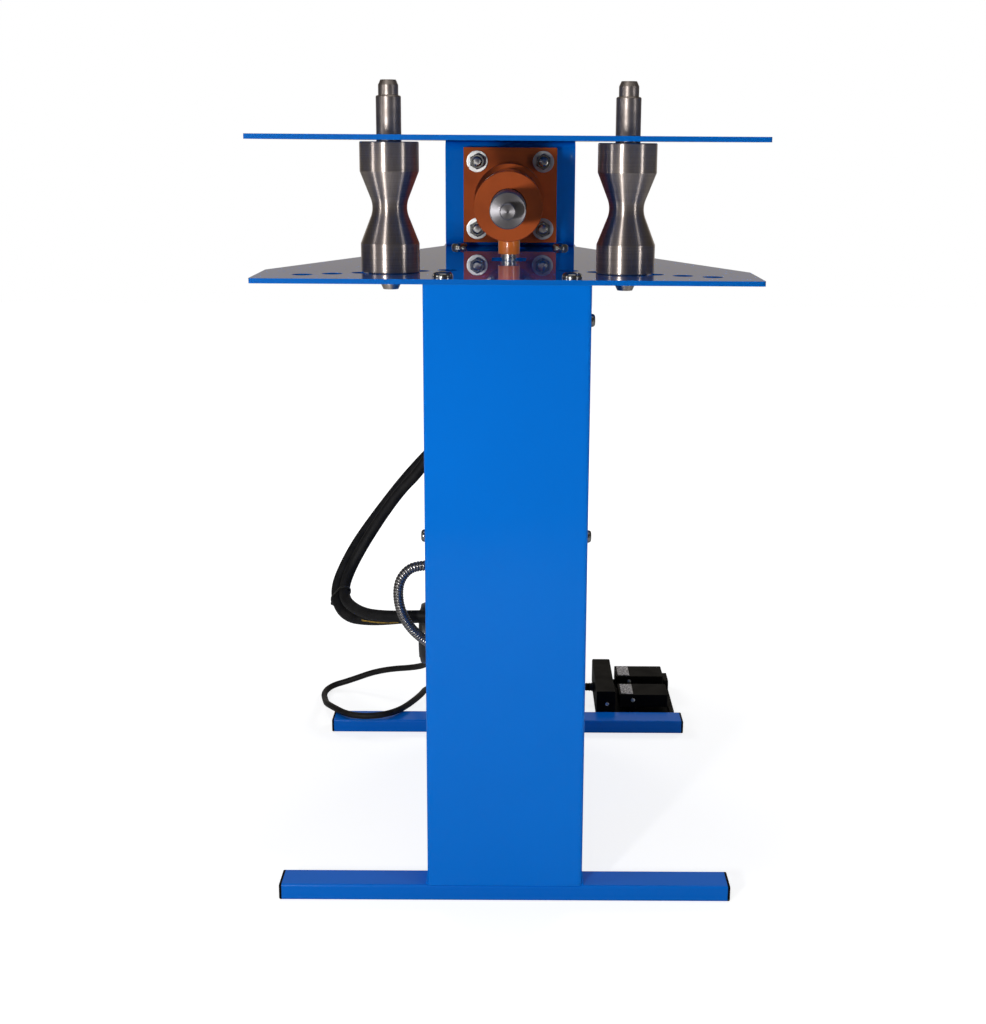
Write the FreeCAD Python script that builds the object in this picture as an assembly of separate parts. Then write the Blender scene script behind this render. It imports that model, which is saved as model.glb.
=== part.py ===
import FreeCAD, Part
import math
import os

Vector = FreeCAD.Vector

# A floor-standing hydraulic ram bender for bar and pipe: a pedestal on two cross feet
# carries two plates, with a cylinder between them that pushes the work against two
# waisted rollers. Sizes are in millimetres. While a piece is made, x runs to the
# operator's right, y runs back from the front face of the machine, z runs up from the floor.

# Feet and rails
foot_length = 666.0
foot_depth = 50.0
foot_height = 25.0
foot_wall = 3.0
foot_corner = 3.5
cap_flange = 4.0
cap_spigot = 18.0
cap_gap = 0.2
rear_foot_setback = 662.0
rail_width = 40.0
rail_spacing = 170.0

# Front column
column_width = 230.0
column_depth = 160.0
column_sheet = 4.0
column_bend = 5.0
column_lip = 20.0
column_cap = 12.0
back_cover_sheet = 2.0
back_cover_margin = 12.0
cover_screw_end = 48.0

# Rear post under the cylinder bracket
post_width = 100.0
post_wall = 4.0
post_cap_width = 216.0
post_cap_front = 612.0
post_cap = 12.0

# Working plates
table_height = 914.0
plate_width = 700.0
plate_depth = 748.0
plate_thickness = 7.0
plate_gap = 182.5
plate_straight_side = 145.0
plate_tail_width = 236.0
plate_tail_length = 60.0
plate_corner = 4.0
slot_width = 55.0
slot_corner = 8.0
front_slot_length = 80.0
rear_slot_length = 56.0

# Pin holes, rollers and pins
pin_stations = 6
pin_first = 88.0
pin_pitch = 39.5
roller_station = 2
roller_setback = 118.0
pin_row_slope = 0.46
lower_hole_diameter = 29.0
upper_hole_diameter = 36.0
pin_diameter = 35.0
pin_nose_diameter = 28.0
pin_above_plate = 53.0
pin_top_nose = 21.0
pin_bottom_nose = 24.0
pin_nose_chamfer = 3.2
pin_nose_chamfer_length = 7.0
pin_shoulder_chamfer = 1.5
roller_diameter = 83.0
roller_cone_tip = 43.7
roller_waist_length = 26.0
roller_height = 180.5
roller_band = 40.5
roller_edge = 1.2
running_gap = 0.08

# Cylinder and ram
axis_above_lower_plate = 90.0
disc_setback = 165.0
disc_thickness = 35.0
disc_edge = 1.0
barrel_diameter = 100.0
bore_diameter = 80.0
fit_gap = 0.05
hub_diameter = 114.0
hub_setback = 440.0
flange_size = 164.0
flange_thickness = 25.0
flange_bolt_spacing = 116.0
gland_spigot = 140.0
gland_lip = 4.0
gland_throat_gap = 1.0
wiper_diameter = 62.0
wiper_length = 8.0
bush_diameter = 62.0
bush_length = 90.0
rod_diameter = 50.0
rod_face_setback = 32.0
rod_edge = 1.2
ram_nose_diameter = 22.0
ram_nose_length = 30.0
centre_mark = 3.0
piston_front = 430.0
piston_length = 60.0
piston_groove = 5.0
piston_spigot_diameter = 36.0

# Oil ports under the cylinder
front_port_setback = 368.0
rear_port_before_bracket = 53.0
port_boss_diameter = 34.0
port_boss_clearance = 9.0
port_hole = 12.0
nipple_diameter = 23.0
nipple_hex = 27.0
nipple_hex_height = 9.0

# Cylinder bracket
bracket_width = 230.0
bracket_setback = 688.0
bracket_thickness = 12.0
bracket_leg = 60.0
bracket_inner_bend = 4.0

# Fasteners
screw_head_diameter = 28.0
screw_head_height = 8.0
screw_shank = 16.0
screw_socket = 10.0
screw_dome_rim = 0.25
screw_dome_top = 0.55
screw_dome_steps = 6
screw_socket_depth = 0.6
screw_setback = 30.0
screw_offset = 88.5
rear_screw_before_bracket = 48.0
bolt_diameter = 16.0
bolt_hex = 24.0
bolt_head_height = 10.0
nut_height = 13.0
nut_chamfer = 2.0
nut_seat_chamfer = 0.5
bolt_tail = 6.0
stud_chamfer = 1.6
bracket_bolt_offset = 92.0
bracket_bolt_inset = 36.0
countersink_diameter = 30.0
countersink_socket = 10.0
countersink_socket_depth = 5.0
washer_diameter = 37.5
washer_thickness = 3.0
side_screw_head = 18.0
side_screw_height = 5.5
side_screw_socket = 6.0
side_screw_shank = 10.0
side_screw_length = 16.0
side_screw_setback = 18.0
side_screw_top_drop = 49.0
side_screw_middle_drop = 355.0
cover_screw_head = 9.5
cover_screw_height = 3.0
cover_screw_shank = 5.0

# Power unit on the rails
tank_width = 240.0
tank_depth = 300.0
tank_setback = 300.0
tank_height = 174.0
tank_wall = 3.0
tank_corner = 6.0
lid_thickness = 6.0
lid_overhang = 3.0
motor_setback = 450.0
motor_radius = 50.0
fin_height = 2.5
fin_width = 2.4
fin_count = 30
motor_axis_above_lid = 66.0
motor_left = -125.0
motor_length = 165.0
fan_cover_length = 26.0
fan_cover_lap = 8.0
fan_cover_chamfer = 7.0
fan_cover_wall = 2.0
fan_space = 4.0
motor_foot_width = 84.0
motor_foot_thickness = 10.0
motor_foot_inset = 24.0
motor_web_width = 56.0
stator_bore = 62.0
rotor_diameter = 60.0
shaft_diameter = 20.0
motor_end_wall = 12.0
fan_radius = 44.0
fan_thickness = 9.0
fan_disc = 3.0
fan_blades = 7
fan_blade = 2.4
fan_blade_inset = 4.4
bell_length = 36.0
bell_radius = 45.0
bell_wall = 8.0
coupling_diameter = 46.0
coupling_length = 24.0
pump_length = 48.0
pump_width = 86.0
pump_height = 92.0
pump_corner = 8.0
terminal_width = 80.0
terminal_depth = 44.0
terminal_height = 78.0
terminal_inset = 13.0
terminal_drop = 19.0
terminal_gap = 0.1
gauge_width = 26.0
gauge_height = 92.0
gauge_thickness = 8.0
gauge_straight_end = 5.2
gauge_offset = 60.0
gauge_above_rails = 47.0
filler_offset = 84.0
filler_inset = 38.0
filler_neck = 30.0
filler_neck_height = 8.0
filler_hole = 15.0
filler_cap_diameter = 46.0
filler_cap_height = 30.0
filler_cap_edge = 2.0
filler_cap_crown = 3.0
filler_grips = 24
filler_grip_width = 2.4
filler_grip_end = 4.0
filler_grip_outset = 0.4

# Valve block behind the column
block_width = 70.0
block_left = -25.0
block_depth = 138.0
block_bottom = 335.0
block_height = 60.0
first_port_inset = 73.0
first_port_height = 36.0
second_port_inset = 113.0
second_port_height = 21.0
valve_body = 46.0
valve_body_length = 62.0
valve_inset = 63.0
coil_diameter = 44.0
coil_length = 46.0
pipe_diameter = 12.0
pipe_bend = 18.0
pipe_union_diameter = 24.0
pressure_port_offset = 55.0
pressure_port_height = 31.0
return_port_offset = 15.0
return_port_height = 17.0
return_pipe_inset = 24.0

# Control box behind the column
box_left = -88.0
box_width = 168.0
box_depth = 100.0
box_bottom = 440.0
box_height = 220.0
box_wall = 2.0
box_lid = 3.0
box_corner = 5.0
switch_height = 168.0
switch_inset = 52.0
switch_plate = 54.0
switch_plate_thickness = 3.0
knob_diameter = 38.0
knob_base = 9.0
knob_grip = 15.0
knob_grip_width = 10.0
knob_grip_inset = 1.0
knob_grip_corner = 2.0
stop_height = 80.0
stop_collar_diameter = 40.0
stop_collar_height = 8.0
stop_head_diameter = 38.0
stop_head_height = 14.0
stop_head_edge = 2.0
stop_head_crown = ((0.0, 5.0), (3.0, 1.5), (8.0, 0.0))
stop_stem_diameter = 20.0
stop_travel = 4.0
button_gap = 0.3
conduit_inset = 38.0
conduit_height = 24.0

# Junction box on the rear post
junction_width = 80.0
junction_depth = 40.0
junction_bottom = 150.0
junction_height = 80.0
junction_gland_height = 40.0
junction_gland_depth = 22.0

# Hoses, conduit and cable
hose_diameter = 18.0
ferrule_diameter = 24.0
ferrule_length = 36.0
swivel_hex = 30.0
swivel_length = 20.0
conduit_diameter = 16.0
conduit_groove = 14.2
conduit_bore = 11.0
conduit_pitch = 3.6
conduit_nut_hex = 24.0
conduit_nut_length = 9.0
conduit_body_diameter = 20.0
conduit_body_length = 12.0
cable_diameter = 12.0
gland_hex = 22.0
gland_hex_length = 10.0
gland_dome_diameter = 19.0
gland_dome_length = 14.0
gland_dome_straight = 6.3
gland_tip_diameter = 16.0
tie_width = 5.0
tie_thickness = 1.6
tie_gap = 0.9
tie_head = 8.0
tie_bend = 6

# Foot pedal on the floor behind the rear foot
pedal_left = 174.0
pedal_setback = 740.0
pedal_length = 154.0
pedal_depth = 192.0
pedal_plate = 6.0
pedal_rim = 6.0
pedal_rim_height = 12.0
pedal_guard = 9.0
pedal_guard_height = 30.0
pedal_guard_inset = 132.0
pedal_guard_length = 54.0
pedal_guard_corner = 6.0
housing_width = 37.0
housing_height = 56.0
housing_wall = 3.0
housing_corner = 3.0
treadle_space = 8.5
treadle_length = 96.0
treadle_depth = 62.0
treadle_bottom = 20.0
treadle_top = 45.0
treadle_wall = 4.0
treadle_corner = 3.0
front_treadle_inset = 12.0
rear_treadle_inset = 118.0
treadle_pivot_inset = 27.0
treadle_pivot_height = 34.0
hinge_ear_width = 12.0
hinge_pin_diameter = 6.0
hinge_pin_head = 9.0
hinge_head_height = 2.5
hinge_head_crown = ((1.0, 0.0), (0.8, 0.7), (0.4, 1.0))
hinge_ear = 6.0
pedal_cable_height = 30.0
boot_diameter = 14.5
boot_length = 26.0
boot_straight = 18.0
boot_tip_diameter = 13.5

bracket_bend = bracket_inner_bend + bracket_thickness
rear_port_setback = bracket_setback - rear_port_before_bracket
rear_screw_setback = bracket_setback - rear_screw_before_bracket
overall_depth = pedal_setback + pedal_depth
shift_back_to_origin = Vector(0, -overall_depth / 2, 0)
lower_plate_top = table_height + plate_thickness
upper_plate_bottom = lower_plate_top + plate_gap
upper_plate_top = upper_plate_bottom + plate_thickness
axis_height = lower_plate_top + axis_above_lower_plate
flange_setback = bracket_setback - flange_thickness
roller_x = pin_first + roller_station * pin_pitch
tank_top = foot_height + tank_height
lid_top = tank_top + lid_thickness
motor_axis = lid_top + motor_axis_above_lid
cover_back = column_depth + back_cover_sheet
box_right = box_left + box_width
block_right = block_left + block_width
switch_setback = cover_back + switch_inset
motor_right = motor_left + motor_length
pump_left = motor_right + bell_length
pump_top = motor_axis + pump_height / 2
terminal_left = motor_left + terminal_inset
terminal_bottom = motor_axis - terminal_drop
treadle_left = pedal_left + housing_width + treadle_space
treadle_pivot = treadle_left + treadle_pivot_inset
front_treadle_setback = pedal_setback + front_treadle_inset
rear_treadle_setback = pedal_setback + rear_treadle_inset

# Two places that are nearer than this are one place
touching = 0.001

ALONG_X = Vector(1, 0, 0)
ALONG_Y = Vector(0, 1, 0)
ALONG_Z = Vector(0, 0, 1)


def block(x_from, x_to, y_from, y_to, z_from, z_to):
    corner = Vector(x_from, y_from, z_from)
    return Part.makeBox(x_to - x_from, y_to - y_from, z_to - z_from, corner)


def centred_block(x_middle, width, y_from, y_to, z_from, z_to):
    return block(x_middle - width / 2, x_middle + width / 2, y_from, y_to, z_from, z_to)


def round_bar(diameter, length, start, direction=ALONG_Z):
    return Part.makeCylinder(diameter / 2, length, start, direction)


def hex_bar(across_flats, length, start, direction=ALONG_Z):
    side = ALONG_X if abs(direction.x) < 0.5 else ALONG_Y
    other = direction.cross(side)
    corner_radius = across_flats / math.sqrt(3)
    corners = []
    for i in range(7):
        angle = math.radians(60 * i)
        corners.append(start + side * (corner_radius * math.cos(angle))
                       + other * (corner_radius * math.sin(angle)))
    return Part.Face(Part.makePolygon(corners)).extrude(direction * length)


def edges_along(shape, direction):
    found = []
    for edge in shape.Edges:
        if isinstance(edge.Curve, Part.Line):
            run = edge.Vertexes[1].Point - edge.Vertexes[0].Point
            if run.Length > 0 and abs(run.normalize().dot(direction)) > 0.999:
                found.append(edge)
    return found


def round_edges(shape, radius, direction):
    return shape.makeFillet(radius, edges_along(shape, direction))


def turned(profile, axis_point, direction):
    """A solid of revolution. The profile is (radius, distance along the axis) pairs."""
    side = ALONG_X if abs(direction.x) < 0.5 else ALONG_Y
    points = [axis_point + side * r + direction * h for r, h in profile]
    face = Part.Face(Part.makePolygon(points + [points[0]]))
    return face.revolve(axis_point, direction, 360)


def square_tube(x_from, x_to, y_from, y_to, z_from, z_to, wall, corner, along):
    outer = round_edges(block(x_from, x_to, y_from, y_to, z_from, z_to), corner, along)
    grow = Vector(1, 1, 1) - along
    low = Vector(x_from, y_from, z_from) + grow * wall
    high = Vector(x_to, y_to, z_to) - grow * wall
    hollow = block(low.x, high.x, low.y, high.y, low.z, high.z)
    return outer.cut(hollow)


def save(node, *solids):
    shape = solids[0] if len(solids) == 1 else Part.makeCompound(list(solids))
    shape = shape.copy()
    shape.translate(shift_back_to_origin)
    if not shape.isValid():
        print("not valid:", node)
    shape.exportStep("parts/" + node + ".step")


# Feet, rails and end caps

def make_foot(setback):
    half = foot_length / 2
    return square_tube(-half, half, setback, setback + foot_depth, 0, foot_height,
                       foot_wall, foot_corner, ALONG_X)


def make_foot_cap(setback, side):
    face = side * foot_length / 2
    outer = sorted((face, face + side * cap_flange))
    inner = sorted((face, face - side * cap_spigot))
    plate = block(outer[0], outer[1], setback, setback + foot_depth, 0, foot_height)
    plate = round_edges(plate, foot_corner, ALONG_X)
    rim_edges = []
    for edge in plate.Edges:
        if all(abs(v.Point.x - face - side * cap_flange) < touching for v in edge.Vertexes):
            rim_edges.append(edge)
    plate = plate.makeFillet(cap_flange / 2, rim_edges)
    inset = foot_wall + cap_gap
    spigot = block(inner[0], inner[1], setback + inset, setback + foot_depth - inset,
                   inset, foot_height - inset)
    return plate.fuse(spigot).removeSplitter()


def make_rail(side):
    middle = side * rail_spacing / 2
    return square_tube(middle - rail_width / 2, middle + rail_width / 2, foot_depth,
                       rear_foot_setback, 0, foot_height, foot_wall, foot_corner, ALONG_Y)


# Column, covers and rear post

def make_column():
    half = column_width / 2
    outer = block(-half, half, 0, column_depth, foot_height, table_height)
    outer = round_edges(outer, column_bend, ALONG_Z)
    inside = half - column_sheet
    hollow = block(-inside, inside, column_sheet, column_depth - column_sheet,
                   foot_height, table_height)
    back_opening = block(-half + column_lip, half - column_lip, column_depth - 2 * column_sheet,
                         column_depth, foot_height, table_height)
    shell = outer.cut(hollow).cut(back_opening)
    cap = block(-inside, inside, column_sheet, column_depth - column_sheet,
                table_height - column_cap, table_height)
    shell = shell.fuse(cap).removeSplitter()
    for side in (-1, 1):
        start = Vector(side * screw_offset, screw_setback, table_height - column_cap)
        shell = shell.cut(round_bar(screw_shank, column_cap, start))
    for side, height in side_screw_places():
        start = Vector(side * half, side_screw_setback, height)
        hole = round_bar(side_screw_shank, column_sheet, start, ALONG_X * -side)
        shell = shell.cut(hole)
    for side, height in cover_screw_places():
        x = side * (half - column_lip / 2)
        start = Vector(x, column_depth - column_sheet, height)
        shell = shell.cut(round_bar(cover_screw_shank, column_sheet, start, ALONG_Y))
    return shell


def side_screw_places():
    top = table_height - side_screw_top_drop
    middle = table_height - side_screw_middle_drop
    return ((1, top), (1, middle), (-1, middle))


def cover_screw_places():
    low = foot_height + cover_screw_end
    high = table_height - cover_screw_end
    middle = (low + high) / 2
    return [(side, height) for side in (-1, 1) for height in (low, middle, high)]


def make_back_cover():
    half = column_width / 2
    cover = block(-half, half, column_depth, cover_back, foot_height + back_cover_margin,
                  table_height - back_cover_margin)
    for side, height in cover_screw_places():
        start = Vector(side * (half - column_lip / 2), column_depth, height)
        cover = cover.cut(round_bar(cover_screw_shank, back_cover_sheet, start, ALONG_Y))
    return cover


def button_screw(head_diameter, head_height, shank, shank_length, seat, outward, socket):
    """A domed socket screw whose head stands outward of its seat."""
    radius = head_diameter / 2
    rim = head_height * screw_dome_rim
    top = radius * screw_dome_top
    profile = [(0, 0), (radius, 0), (radius, rim)]
    for i in range(1, screw_dome_steps):
        angle = math.radians(90 * i / screw_dome_steps)
        profile.append((top + (radius - top) * math.cos(angle),
                        rim + (head_height - rim) * math.sin(angle)))
    profile += [(top, head_height), (0, head_height)]
    head = turned(profile, seat, outward)
    shank_bar = round_bar(shank, shank_length, seat, outward * -1)
    depth = head_height * screw_socket_depth
    recess = hex_bar(socket, depth, seat + outward * (head_height - depth), outward)
    return head.fuse(shank_bar).cut(recess)


def make_cover_screws():
    half = column_width / 2
    screws = []
    for side, height in side_screw_places():
        seat = Vector(side * half, side_screw_setback, height)
        screws.append(button_screw(side_screw_head, side_screw_height, side_screw_shank,
                                   side_screw_length, seat, ALONG_X * side,
                                   side_screw_socket))
    for side, height in cover_screw_places():
        seat = Vector(side * (half - column_lip / 2), cover_back, height)
        screws.append(button_screw(cover_screw_head, cover_screw_height, cover_screw_shank,
                                   back_cover_sheet + column_sheet, seat, ALONG_Y,
                                   cover_screw_head / 3))
    return screws


def make_rear_post():
    half = post_width / 2
    post_top = table_height - post_cap
    tube = square_tube(-half, half, rear_foot_setback, rear_foot_setback + foot_depth,
                       foot_height, post_top, post_wall, foot_corner, ALONG_Z)
    cap = centred_block(0, post_cap_width, post_cap_front, plate_depth, post_top, table_height)
    post = tube.fuse(cap).cut(slot_cutter(rear_port_setback, rear_slot_length))
    for side in (-1, 1):
        tapped = Vector(side * screw_offset, rear_screw_setback, post_top)
        post = post.cut(round_bar(screw_shank, post_cap, tapped))
        through = Vector(side * bracket_bolt_offset, bracket_bolt_line(), post_top)
        post = post.cut(round_bar(bolt_diameter, post_cap, through))
    return post.removeSplitter()


# Working plates

def pin_places(side):
    places = []
    for station in range(pin_stations):
        x = pin_first + station * pin_pitch
        y = roller_setback + (roller_x - x) * pin_row_slope
        places.append(Vector(side * x, y, 0))
    return places


def plate_blank(bottom):
    half = plate_width / 2
    tail = plate_tail_width / 2
    tail_start = plate_depth - plate_tail_length
    outline = [(-half, 0), (half, 0), (half, plate_straight_side), (tail, tail_start),
               (tail, plate_depth), (-tail, plate_depth), (-tail, tail_start),
               (-half, plate_straight_side)]
    points = [Vector(x, y, bottom) for x, y in outline]
    face = Part.Face(Part.makePolygon(points + [points[0]]))
    return round_edges(face.extrude(ALONG_Z * plate_thickness), plate_corner, ALONG_Z)


def bracket_bolt_line():
    return bracket_setback + bracket_bolt_inset


def drill(plate, diameter, places, bottom):
    for place in places:
        start = Vector(place.x, place.y, bottom)
        plate = plate.cut(round_bar(diameter, plate_thickness, start))
    return plate


def slot_cutter(setback, length):
    cutter = centred_block(0, slot_width, setback - length / 2, setback + length / 2,
                           table_height - post_cap, lower_plate_top)
    return round_edges(cutter, slot_corner, ALONG_Z)


def make_lower_plate():
    plate = plate_blank(table_height)
    for side in (-1, 1):
        plate = drill(plate, lower_hole_diameter, pin_places(side), table_height)
        screws = [Vector(side * screw_offset, screw_setback, 0),
                  Vector(side * screw_offset, rear_screw_setback, 0)]
        plate = drill(plate, screw_shank, screws, table_height)
        bolt = [Vector(side * bracket_bolt_offset, bracket_bolt_line(), 0)]
        plate = drill(plate, bolt_diameter, bolt, table_height)
    plate = plate.cut(slot_cutter(front_port_setback, front_slot_length))
    return plate.cut(slot_cutter(rear_port_setback, rear_slot_length))


def countersink(top):
    profile = [(0, 0), (countersink_diameter / 2, 0), (bolt_diameter / 2, plate_thickness),
               (0, plate_thickness)]
    return turned(profile, top, ALONG_Z * -1)


def make_upper_plate():
    plate = plate_blank(upper_plate_bottom)
    for side in (-1, 1):
        plate = drill(plate, upper_hole_diameter, pin_places(side), upper_plate_bottom)
        top = Vector(side * bracket_bolt_offset, bracket_bolt_line(), upper_plate_top)
        plate = plate.cut(countersink(top))
    return plate


# Cylinder bracket between the plates, bent from thick plate

def make_bracket():
    back = bracket_setback + bracket_leg
    half = bracket_width / 2
    outer = block(-half, half, bracket_setback, back, lower_plate_top, upper_plate_bottom)
    front_edges = [edge for edge in edges_along(outer, ALONG_X)
                   if abs(edge.Vertexes[0].Point.y - bracket_setback) < touching]
    outer = outer.makeFillet(bracket_bend, front_edges)
    inner = block(-half, half, bracket_setback + bracket_thickness, back,
                  lower_plate_top + bracket_thickness, upper_plate_bottom - bracket_thickness)
    inner_edges = [edge for edge in edges_along(inner, ALONG_X)
                   if edge.Vertexes[0].Point.y < bracket_setback + bracket_thickness + touching]
    inner = inner.makeFillet(bracket_inner_bend, inner_edges)
    bracket = outer.cut(inner)
    for place in flange_bolt_places():
        start = Vector(place.x, bracket_setback, place.z)
        bracket = bracket.cut(round_bar(bolt_diameter, bracket_thickness, start, ALONG_Y))
    for side in (-1, 1):
        start = Vector(side * bracket_bolt_offset, bracket_bolt_line(), lower_plate_top)
        bracket = bracket.cut(round_bar(bolt_diameter, plate_gap, start))
    return bracket


def flange_bolt_places():
    half = flange_bolt_spacing / 2
    return [Vector(x, 0, axis_height + z) for x in (-half, half) for z in (-half, half)]


# Fasteners of the plates, bracket and flange

def make_plate_screws():
    screws = []
    for side in (-1, 1):
        for setback, grip in ((screw_setback, column_cap), (rear_screw_setback, post_cap)):
            seat = Vector(side * screw_offset, setback, lower_plate_top)
            screws.append(button_screw(screw_head_diameter, screw_head_height, screw_shank,
                                       plate_thickness + grip, seat, ALONG_Z, screw_socket))
    return screws


def hex_bolt(seat, outward, grip):
    head = hex_bar(bolt_hex, bolt_head_height, seat, outward)
    shank = round_bar(bolt_diameter, grip + nut_height + bolt_tail, seat, outward * -1)
    return head.fuse(shank).removeSplitter()


def countersunk_bolt(top, length):
    bolt = countersink(top).fuse(round_bar(bolt_diameter, length, top, ALONG_Z * -1))
    recess = hex_bar(countersink_socket, countersink_socket_depth, top, ALONG_Z * -1)
    return bolt.cut(recess).removeSplitter()


def hex_nut(seat, outward, hole):
    """A hexagon nut with its corners turned off, more on the outer face than on the seat."""
    corner = bolt_hex / math.sqrt(3) + fit_gap
    profile = [(0, 0), (corner - nut_seat_chamfer, 0), (corner, nut_seat_chamfer),
               (corner, nut_height - nut_chamfer), (bolt_hex / 2, nut_height), (0, nut_height)]
    nut = hex_bar(bolt_hex, nut_height, seat, outward).common(turned(profile, seat, outward))
    return nut.cut(round_bar(hole, nut_height, seat, outward))


def make_bracket_bolts():
    pieces = []
    for side in (-1, 1):
        x = side * bracket_bolt_offset
        y = bracket_bolt_line()
        bottom_seat = Vector(x, y, lower_plate_top + bracket_thickness)
        bottom_grip = bracket_thickness + plate_thickness + post_cap
        pieces.append(hex_bolt(bottom_seat, ALONG_Z, bottom_grip))
        pieces.append(hex_nut(Vector(x, y, table_height - post_cap), ALONG_Z * -1, bolt_diameter))
        top_length = plate_thickness + bracket_thickness + nut_height + bolt_tail
        pieces.append(countersunk_bolt(Vector(x, y, upper_plate_top), top_length))
        under = Vector(x, y, upper_plate_bottom - bracket_thickness)
        pieces.append(hex_nut(under, ALONG_Z * -1, bolt_diameter))
    return pieces


def make_flange_studs():
    front = flange_setback - washer_thickness - nut_height - bolt_tail
    back = bracket_setback + bracket_thickness + nut_height + bolt_tail
    studs = []
    for place in flange_bolt_places():
        start = Vector(place.x, front, place.z)
        stud = round_bar(bolt_diameter, back - front, start, ALONG_Y)
        ends = [edge for edge in stud.Edges if isinstance(edge.Curve, Part.Circle)]
        studs.append(stud.makeChamfer(stud_chamfer, ends))
    return studs


def make_flange_nuts():
    nuts = []
    for place in flange_bolt_places():
        front_seat = Vector(place.x, flange_setback - washer_thickness, place.z)
        nuts.append(hex_nut(front_seat, ALONG_Y * -1, bolt_diameter))
        back_seat = Vector(place.x, bracket_setback + bracket_thickness, place.z)
        nuts.append(hex_nut(back_seat, ALONG_Y, bolt_diameter))
    return nuts


def make_flange_washers():
    washers = []
    for place in flange_bolt_places():
        start = Vector(place.x, flange_setback - washer_thickness, place.z)
        washer = round_bar(washer_diameter, washer_thickness, start, ALONG_Y)
        washers.append(washer.cut(round_bar(bolt_diameter, washer_thickness, start, ALONG_Y)))
    return washers


# Cylinder

def on_axis(setback):
    return Vector(0, setback, axis_height)


def boss_bottom():
    return lower_plate_top + port_boss_clearance


def port_drill(setback):
    start = Vector(0, setback, boss_bottom())
    return round_bar(port_hole, axis_height - boss_bottom(), start)


def make_barrel():
    start = disc_setback + disc_thickness
    tube = round_bar(barrel_diameter, flange_setback - start, on_axis(start), ALONG_Y)
    tube = tube.cut(round_bar(bore_diameter, flange_setback - start, on_axis(start), ALONG_Y))
    return tube.cut(port_drill(front_port_setback)).cut(port_drill(rear_port_setback))


def make_flange():
    half = flange_size / 2
    plate = block(-half, half, flange_setback, bracket_setback, axis_height - half,
                  axis_height + half)
    for place in flange_bolt_places():
        start = Vector(place.x, flange_setback, place.z)
        plate = plate.cut(round_bar(bolt_diameter, flange_thickness, start, ALONG_Y))
    hub_length = flange_setback - hub_setback
    hub = round_bar(hub_diameter, hub_length, on_axis(hub_setback), ALONG_Y)
    hub = hub.cut(round_bar(barrel_diameter, hub_length, on_axis(hub_setback), ALONG_Y))
    return plate.fuse(hub).removeSplitter().cut(port_drill(rear_port_setback))


def make_gland_head():
    throat = rod_diameter + 2 * gland_throat_gap
    total = disc_thickness + gland_spigot
    edge = barrel_diameter / 2
    head = turned([(0, 0), (edge - disc_edge, 0), (edge, disc_edge), (edge, disc_thickness),
                   (bore_diameter / 2 - fit_gap, disc_thickness),
                   (bore_diameter / 2 - fit_gap, total), (0, total)],
                  on_axis(disc_setback), ALONG_Y)
    head = head.cut(round_bar(throat, total, on_axis(disc_setback), ALONG_Y))
    head = head.cut(round_bar(wiper_diameter, wiper_length,
                              on_axis(disc_setback + gland_lip), ALONG_Y))
    bush_start = disc_setback + total - bush_length
    return head.cut(round_bar(bush_diameter, bush_length, on_axis(bush_start), ALONG_Y))


def rod_sleeve(diameter, length, setback):
    start = on_axis(setback)
    sleeve = round_bar(diameter - 2 * fit_gap, length, start, ALONG_Y)
    return sleeve.cut(round_bar(rod_diameter + 2 * running_gap, length, start, ALONG_Y))


def make_ram_rod():
    rod_end = piston_front
    spigot_end = piston_front + piston_length
    nose_tip = rod_face_setback - ram_nose_length
    r = rod_diameter / 2
    n = ram_nose_diameter / 2
    profile = [(0, centre_mark), (centre_mark / 2, 0), (n - rod_edge, 0), (n, rod_edge),
               (n, ram_nose_length), (r - rod_edge, ram_nose_length),
               (r, ram_nose_length + rod_edge), (r, rod_end - nose_tip),
               (piston_spigot_diameter / 2, rod_end - nose_tip),
               (piston_spigot_diameter / 2, spigot_end - nose_tip),
               (0, spigot_end - nose_tip)]
    return turned(profile, on_axis(nose_tip), ALONG_Y)


def make_piston():
    r = bore_diameter / 2 - running_gap
    groove = r - piston_groove / 2
    third = piston_length / 3
    profile = [(piston_spigot_diameter / 2, 0), (r, 0), (r, third), (groove, third),
               (groove, third + piston_groove), (r, third + piston_groove),
               (r, 2 * third), (groove, 2 * third), (groove, 2 * third + piston_groove),
               (r, 2 * third + piston_groove), (r, piston_length),
               (piston_spigot_diameter / 2, piston_length)]
    return turned(profile, on_axis(piston_front), ALONG_Y)


def make_port_boss(setback, carrier_diameter):
    bottom = boss_bottom()
    boss = round_bar(port_boss_diameter, axis_height - bottom, Vector(0, setback, bottom))
    carrier = round_bar(carrier_diameter, 2 * port_boss_diameter,
                        on_axis(setback - port_boss_diameter), ALONG_Y)
    return boss.cut(carrier).cut(port_drill(setback))


def nipple_bottom():
    return table_height - nipple_hex_height


def make_nipple(setback):
    top = boss_bottom()
    stem = round_bar(nipple_diameter, top - nipple_bottom(), Vector(0, setback, nipple_bottom()))
    collar = hex_bar(nipple_hex, nipple_hex_height, Vector(0, setback, nipple_bottom()))
    bore = round_bar(port_hole, top - nipple_bottom(), Vector(0, setback, nipple_bottom()))
    return stem.fuse(collar).cut(bore)


# Rollers and their lift-out pins

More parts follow.
